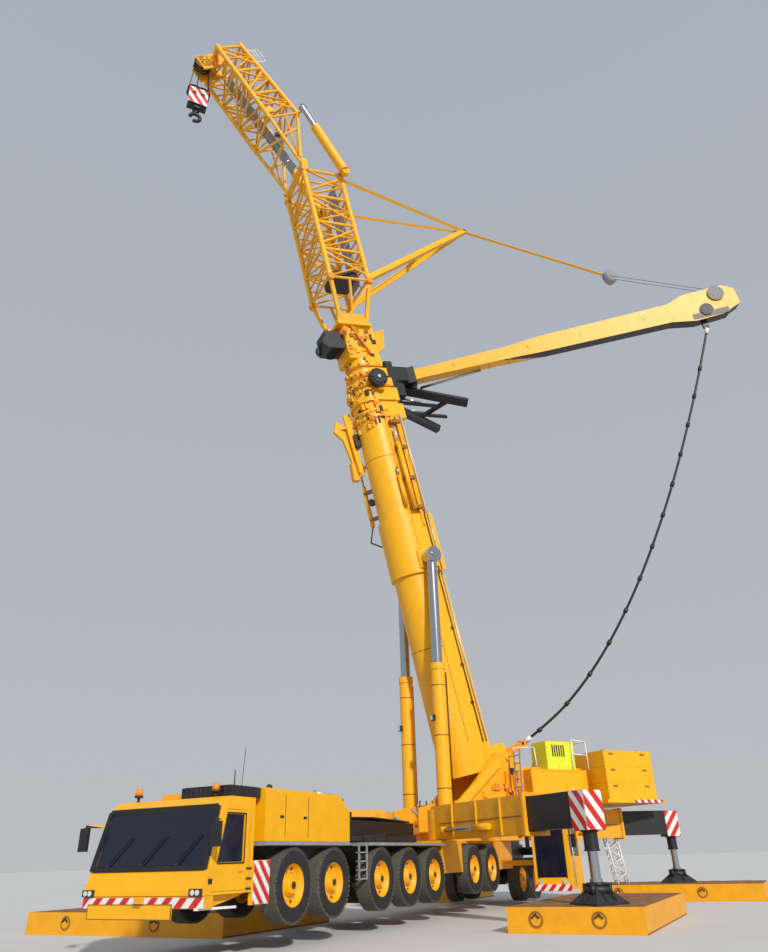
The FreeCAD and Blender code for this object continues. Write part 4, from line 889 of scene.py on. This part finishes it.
anchor = Piece("anchor_trim", BOOM)
for y in (0.125, -0.125):
    anchor.prism([(-0.16, 0.1), (0.2, 0.1), (0.52, 1.7), (0.43, 1.8), (0.30, 1.76)], y - 0.004,
                 y + 0.004, "xz", ORANGE)
anchor.rod((0.05, -0.16, 0.25), (0.05, 0.16, 0.25), 0.05, DARK, 12)
anchor.rod((0.41, -0.16, 1.6), (0.41, 0.16, 1.6), 0.05, DARK, 12)
anchor.rod((-0.1, 0, 0.2), (0.05, 0, 0.9), 0.05, BLACK, 12)
anchor.done("boom_base", "yellow_paint")

# section collars
for name, x0, x1, r in (("boom_section_1", 15.75, 16.15, 0.81), ("boom_section_2", 16.3, 16.7, 0.73),
                        ("boom_section_3", 16.85, 17.3, 0.65)):
    c = Piece(name + "_trim", BOOM)
    # painted shade: brown seam rings at the collar edges
    for x in (x0 + 0.02, x1 - 0.05):
        c.lathe([(0, r + 0.004), (0.03, r + 0.004)], (x, 0, -1.25), (1, 0, 0), PAINTED_SHADE, 48)
    for s in (1, -1):
        c.box((x0 + 0.05, s * (r + 0.01) - 0.02, -0.8), (x1 - 0.05, s * (r + 0.01) + 0.02, -0.55),
              YEL)
    # small fittings in the paint colours, some in painted shade brown
    for k in range(24):
        t = random.uniform(R(-100), R(100))
        sz = random.uniform(0.04, 0.13)
        x = random.uniform(x0 + 0.03, x1 - 0.12)
        y, z = (r + 0.02) * math.sin(t), -1.25 - (r + 0.02) * math.cos(t)
        c.box((x, y - sz / 2, z - sz / 2), (x + sz, y + sz / 2, z + sz / 2),
              (YEL, ORANGE, PAINTED_SHADE, YEL2)[k % 4])
    c.done(name, "yellow_paint")

hd = Piece("boom_head_trim", BOOM)
# sheave nest under the head
for i in range(6):
    y = -0.375 + 0.15 * i
    hd.lathe([(-0.05, 0.44), (-0.04, 0.49), (-0.012, 0.45), (0.012, 0.45), (0.04, 0.49),
              (0.05, 0.44)], (18.22, y, -2.44), (0, 1, 0), BLACK, 36)
for s in (1, -1):
    hd.rod((18.1, s * 0.30, -2.75), (18.1, s * 0.46, -2.75), 0.30, DARK, 28)
    # painted shade: brown discs for pin recesses and a brown line along each flank
    hd.rod((18.0, s * 0.582, -1.3), (18.0, s * 0.60, -1.3), 0.16, PAINTED_SHADE, 24)
    hd.box((17.4, s * 0.582 - 0.003, -1.9), (18.8, s * 0.582 + 0.003, -1.88), PAINTED_SHADE)
# small fittings in the paint colours, some in painted shade brown
for k in range(60):
    x = random.uniform(17.3, 18.8)
    s = (1, -1)[k % 2]
    sz = random.uniform(0.05, 0.2)
    z = random.uniform(-2.0, -0.6)
    hd.box((x, s * 0.585 - 0.05, z), (x + sz, s * 0.585 + 0.05, z + sz),
           (YEL, ORANGE, PAINTED_SHADE, YEL2, DARK)[k % 5])
for s in (1, -1):
    hd.prism([(17.6, -0.5), (18.7, -0.5), (18.9, 0.1), (17.9, -0.1)], s * 0.45, s * 0.55, "xz", YEL2)
    hd.rod((17.5, s * 0.66, -1.0), (18.9, s * 0.66, -1.6), 0.06, ORANGE, 10)
hd.rod((18.6, -0.8, -2.0), (18.6, 0.8, -2.0), 0.13, ORANGE, 16)
hd.done("boom_section_3", "yellow_paint")

# luffing cylinders: seam rings in painted shade, hose and lamp
CYL = SUP @ Matrix.Translation((0.5, 0, 2.7)) @ Matrix.Rotation(R(-90.1298), 4, "Y")
lc = Piece("luff_barrel_trim", CYL)
for s in (1, -1):
    y = s * 1.25
    for x in (0.9, 2.6, 4.3, 5.08):
        lc.lathe([(0, 0.256), (0.035, 0.256)], (x, y, 0), (1, 0, 0), PAINTED_SHADE, 36)
    lc.rod((0.6, y, 0.29), (4.8, y, 0.29), 0.03, YEL, 10)
    lc.rod((0.6, y + s * 0.10, 0.27), (4.8, y + s * 0.10, 0.27), 0.02, BLACK, 8)
    lc.box((3.1, y - 0.09, -0.36), (3.3, y + 0.09, -0.25), BLACK, 0.01)
    lc.box((3.12, y - 0.07, -0.365), (3.28, y + 0.07, -0.358), LAMP)
lc.done("luff_barrels", "yellow_paint")

# ---------------------------------------------------------------------------
# Lattice jib: catwalk, ladder, ropes and sheaves
# ---------------------------------------------------------------------------
jm = Piece("jib_mast_trim", BOOM)
for i in range(14):
    x = 21.4 + i * 0.44
    jm.box((x, -0.35, -0.46), (x + 0.36, 0.35, -0.43), GREY)
jm.box((21.3, -0.25, -1.95), (21.72, 0.92, -0.8), BLACK, 0.03)
for i in range(8):
    x0, x1 = 21.2 + i * 0.7875, 21.2 + (i + 1) * 0.7875
    for s in (1, -1):
        za, zb = ((-2.3, -0.35), (-0.35, -2.3))[i % 2]
        jm.rod((x0, s * 1.1, za), (x1, s * 1.1, zb), 0.05, YEL2, 8)
        jm.rod((x1, s * 1.1, -2.3), (x1, s * 1.1, -0.35), 0.045, YEL2, 8)
    ya = 1.1 if i % 2 else -1.1
    jm.rod((x0, ya, -2.3), (x1, -ya, -2.3), 0.045, YEL2, 8)
    jm.rod((x1, 1.1, -2.3), (x1, -1.1, -2.3), 0.045, YEL2, 8)
    jm.rod((x1, -ya, -0.35), (x1, ya, -0.35), 0.045, YEL2, 8)
for s in (1, -1):
    jm.box((19.0, s * 0.62 - 0.1, -2.2), (19.5, s * 0.62 + 0.1, -0.8), YEL2, 0.03)
    jm.bar((19.3, s * 0.62, -1.4), (21.1, s * 1.1, -1.35), 0.10, 0.10, YEL2)
    for x, z in ((21.1, -0.35), (21.1, -2.3), (27.45, -0.35), (27.45, -2.3)):
        jm.rod((x, s * 0.97, z), (x, s * 1.235, z), 0.15, ORANGE, 14)
for s in (1, -1):
    jm.rod((21.3, s * 0.36, -0.40), (27.6, s * 0.36, -0.40), 0.03, LIGHT, 8)
    jm.lathe([(0, 0.12), (0.08, 0.12)], (26.27, s * 0.04, 7.29), (0, 1, 0), DARK, 20)
for k in (-1, 1):
    jm.rod((20.3, 4.43 + 0.1 * k, 11.2), (16.7 + 0.55, 7.59 + 0.1 * k, 14.2), 0.012, DARK, 6)
jm.rod((26.27, 0.06, 7.0), (21.0, 0.3, -0.1), 0.012, DARK, 6)
jm.rod((20.3, 4.25, 11.46), (20.3, 4.61, 11.46), 0.36, GREY, 28)
jm.done("boom_section_3", "yellow_paint")

jh = Piece("jib_head_trim", HEAD)
for s in (-0.14, 0.0, 0.14):
    jh.lathe([(-0.04, 0.36), (-0.03, 0.41), (-0.012, 0.36), (0.012, 0.36), (0.03, 0.41),
              (0.04, 0.36)], (7.5, s, -0.55), (0, 1, 0), BLACK, 36)
# folding ladder on the top chord
jh.path([(6.30, 1.06, 1.46), (6.30, 1.06, 2.14), (6.40, 1.06, 2.24), (6.98, 1.06, 2.24),
         (7.08, 1.06, 2.14), (7.08, 1.06, 1.40)], 0.026, WHITE, 8)
for q in range(3):
    jh.rod((6.30, 1.06, 1.62 + 0.19 * q), (7.08, 1.06, 1.62 + 0.19 * q), 0.024, WHITE, 8)
for i in range(6):
    x0, x1 = 2.9 + i * 0.75, 2.9 + (i + 1) * 0.75
    t0, t1 = 1.75 - 0.08 * (x0 - 2.9), 1.75 - 0.08 * (x1 - 2.9)
    for s in (1, -1):
        a, b = ((0.0, t1), (t0, 0.0))[i % 2]
        jh.rod((x0, s * 1.1, a), (x1, s * 1.1, b), 0.05, YEL2, 8)
        jh.rod((x1, s * 1.1, 0), (x1, s * 1.1, t1), 0.045, YEL2, 8)
    ya = 1.1 if i % 2 else -1.1
    jh.rod((x0, ya, 0), (x1, -ya, 0), 0.045, YEL2, 8)
    jh.rod((x0, ya, t0), (x1, -ya, t1), 0.045, YEL2, 8)
    jh.rod((x1, 1.1, t1), (x1, -1.1, t1), 0.045, YEL2, 8)
for i in range(10):
    jh.box((0.5 + i * 0.6, -0.3, 0.28), (1.02 + i * 0.6, 0.3, 0.31), GREY)
for s in (1, -1):
    jh.rod((0.4, s * 1.09, 0.0), (2.9, s * 1.1, 1.0), 0.05, YEL2, 8)
    jh.rod((6.9, s * 0.5, -0.3), (7.9, s * 0.5, 0.5), 0.09, ORANGE, 10)
    jh.box((7.0, s * 0.36 - 0.05, -0.9), (7.75, s * 0.36 + 0.05, -0.2), YEL2, 0.03)
jh.rod((2.45, -0.28, 0.60), (2.45, 0.28, 0.60), 0.30, GREY, 24)
jh.rod((2.45, -0.31, 0.60), (2.45, -0.28, 0.60), 0.20, DARK, 24)
jh.rod((2.45, 0.28, 0.60), (2.45, 0.31, 0.60), 0.20, DARK, 24)
jh.rod((0.2, 0.2, 0.4), (7.3, 0.12, -0.12), 0.012, DARK, 6)
jh.rod((0.2, -0.2, 0.4), (7.3, -0.12, -0.12), 0.012, DARK, 6)
jh.done("jib_head", "yellow_paint")

# guy mast dress
gm = Piece("guy_mast_trim", MAST)
gm.box((-0.62, -0.30, 13.2), (-0.35, 0.30, 14.9), BLACK)
gm.rod((0.45, -0.34, 14.6), (0.45, 0.34, 14.6), 0.38, BLACK, 28)
gm.rod((-0.25, -0.34, 13.9), (-0.25, 0.34, 13.9), 0.30, DARK, 28)
for z in (3.65, 4.55, 6.2, 9.2, 12.3):
    gm.box((-0.33 - 0.012 * z * 0.6, -0.286, z), (0.29 + 0.012 * z, 0.286, z + 0.03), YEL)
# painted shade: small brown marks on the mast side
for z in (2.0, 5.5, 8.0, 11.0):
    gm.box((-0.1, 0.279, z), (0.1, 0.286, z + 0.03), PAINTED_SHADE)
gm.rod((-0.55, -0.12, 0.3), (-0.38, -0.12, 3.2), 0.06, CHROME, 12)
gm.rod((-1.0, -0.06, 13.70), (-1.0, 0.06, 13.70), 0.07, WHITE, 14)
gm.done("boom_base", "yellow_paint")


# hook block: striped plates, sheaves and the rope falls up to the head
HOOK = Matrix.Translation((9.00009, -6.78205, 36.85025)) @ Matrix.Rotation(R(-37), 4, "Z")
hb = Piece("hook_trim", HOOK)
for s in (1, -1):
    hb.stripes((-0.45, 0, -3.10), (0.45, 0, -2.05), 0, 2, 0.22, s * 0.006, s * 0.221, 0.7)
    hb.rod((-0.2, s * 0.225, -2.4), (-0.2, s * 0.245, -2.4), 0.10, DARK, 24)
    hb.rod((0.2, s * 0.225, -2.4), (0.2, s * 0.245, -2.4), 0.10, DARK, 24)
for x in (-0.2, 0.2):
    for y in (-0.13, 0.0, 0.13):
        hb.lathe([(-0.04, 0.30), (-0.03, 0.345), (-0.01, 0.30), (0.01, 0.30), (0.03, 0.345),
                  (0.04, 0.30)], (x, y, -2.12), (0, 1, 0), BLACK, 32)
for x, x2 in ((-0.5, -0.36), (0.1, 0.1), (0.5, 0.36)):
    for y in (-0.13, 0.0, 0.13):
        hb.rod((x, y, -2.12), (x2, y, -0.55), 0.014, DARK, 6)
hb.rod((0, 0, -3.32), (0, 0, -3.10), 0.16, DARK, 20)
hb.box((-0.16, -0.24, -3.4), (0.16, 0.24, -3.3), BLACK, 0.02)
hb.done("hook_block", "hook_paint")

# ---------------------------------------------------------------------------
# Slack guy line between the guy mast and the anchor arm
# ---------------------------------------------------------------------------
ROUTE = [(-4.996, 12.452, 22.773), (-4.907, 11.967, 21.388), (-4.814, 11.468, 20.018),
         (-4.718, 10.948, 18.656), (-4.617, 10.403, 17.297), (-4.512, 9.833, 15.950),
         (-4.401, 9.232, 14.615), (-4.284, 8.601, 13.304), (-4.159, 7.925, 12.005),
         (-4.026, 7.204, 10.737), (-3.881, 6.421, 9.503), (-3.724, 5.569, 8.323),
         (-3.549, 4.625, 7.219), (-3.354, 3.565, 6.231), (-3.131, 2.359, 5.430)]
curve = bpy.data.curves.new("guy_line", "CURVE")
curve.dimensions = "3D"
curve.bevel_depth = 0.05
curve.bevel_resolution = 4
curve.resolution_u = 16
spl = curve.splines.new("NURBS")
spl.points.add(len(ROUTE) - 1)
for q, c in zip(spl.points, ROUTE):
    q.co = (*c, 1.0)
spl.order_u = 3
spl.use_endpoint_u = True
curve.materials.append(BLACK)
line = bpy.data.objects.new("guy_line", curve)
scene.collection.objects.link(line)
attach(line, "boom_base")
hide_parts("guy_chain")
length = sum((Vector(a) - Vector(b)).length for a, b in zip(ROUTE, ROUTE[1:]))
clamps = Piece("guy_clamps")
for a, b in zip(ROUTE[1:], ROUTE[2:]):
    a, b = Vector(a), Vector(b)
    mid, d = (a + b) / 2, (b - a).normalized()
    clamps.rod(mid - d * 0.09, mid + d * 0.09, 0.085, DARK, 14)
for end, d in ((Vector(ROUTE[0]), Vector(ROUTE[1]) - Vector(ROUTE[0])),
               (Vector(ROUTE[-1]), Vector(ROUTE[-2]) - Vector(ROUTE[-1]))):
    d.normalize()
    clamps.rod(end, end + d * 0.3, 0.09, WHITE, 16)
clamps_o = clamps.done("boom_base", "guy_steel")
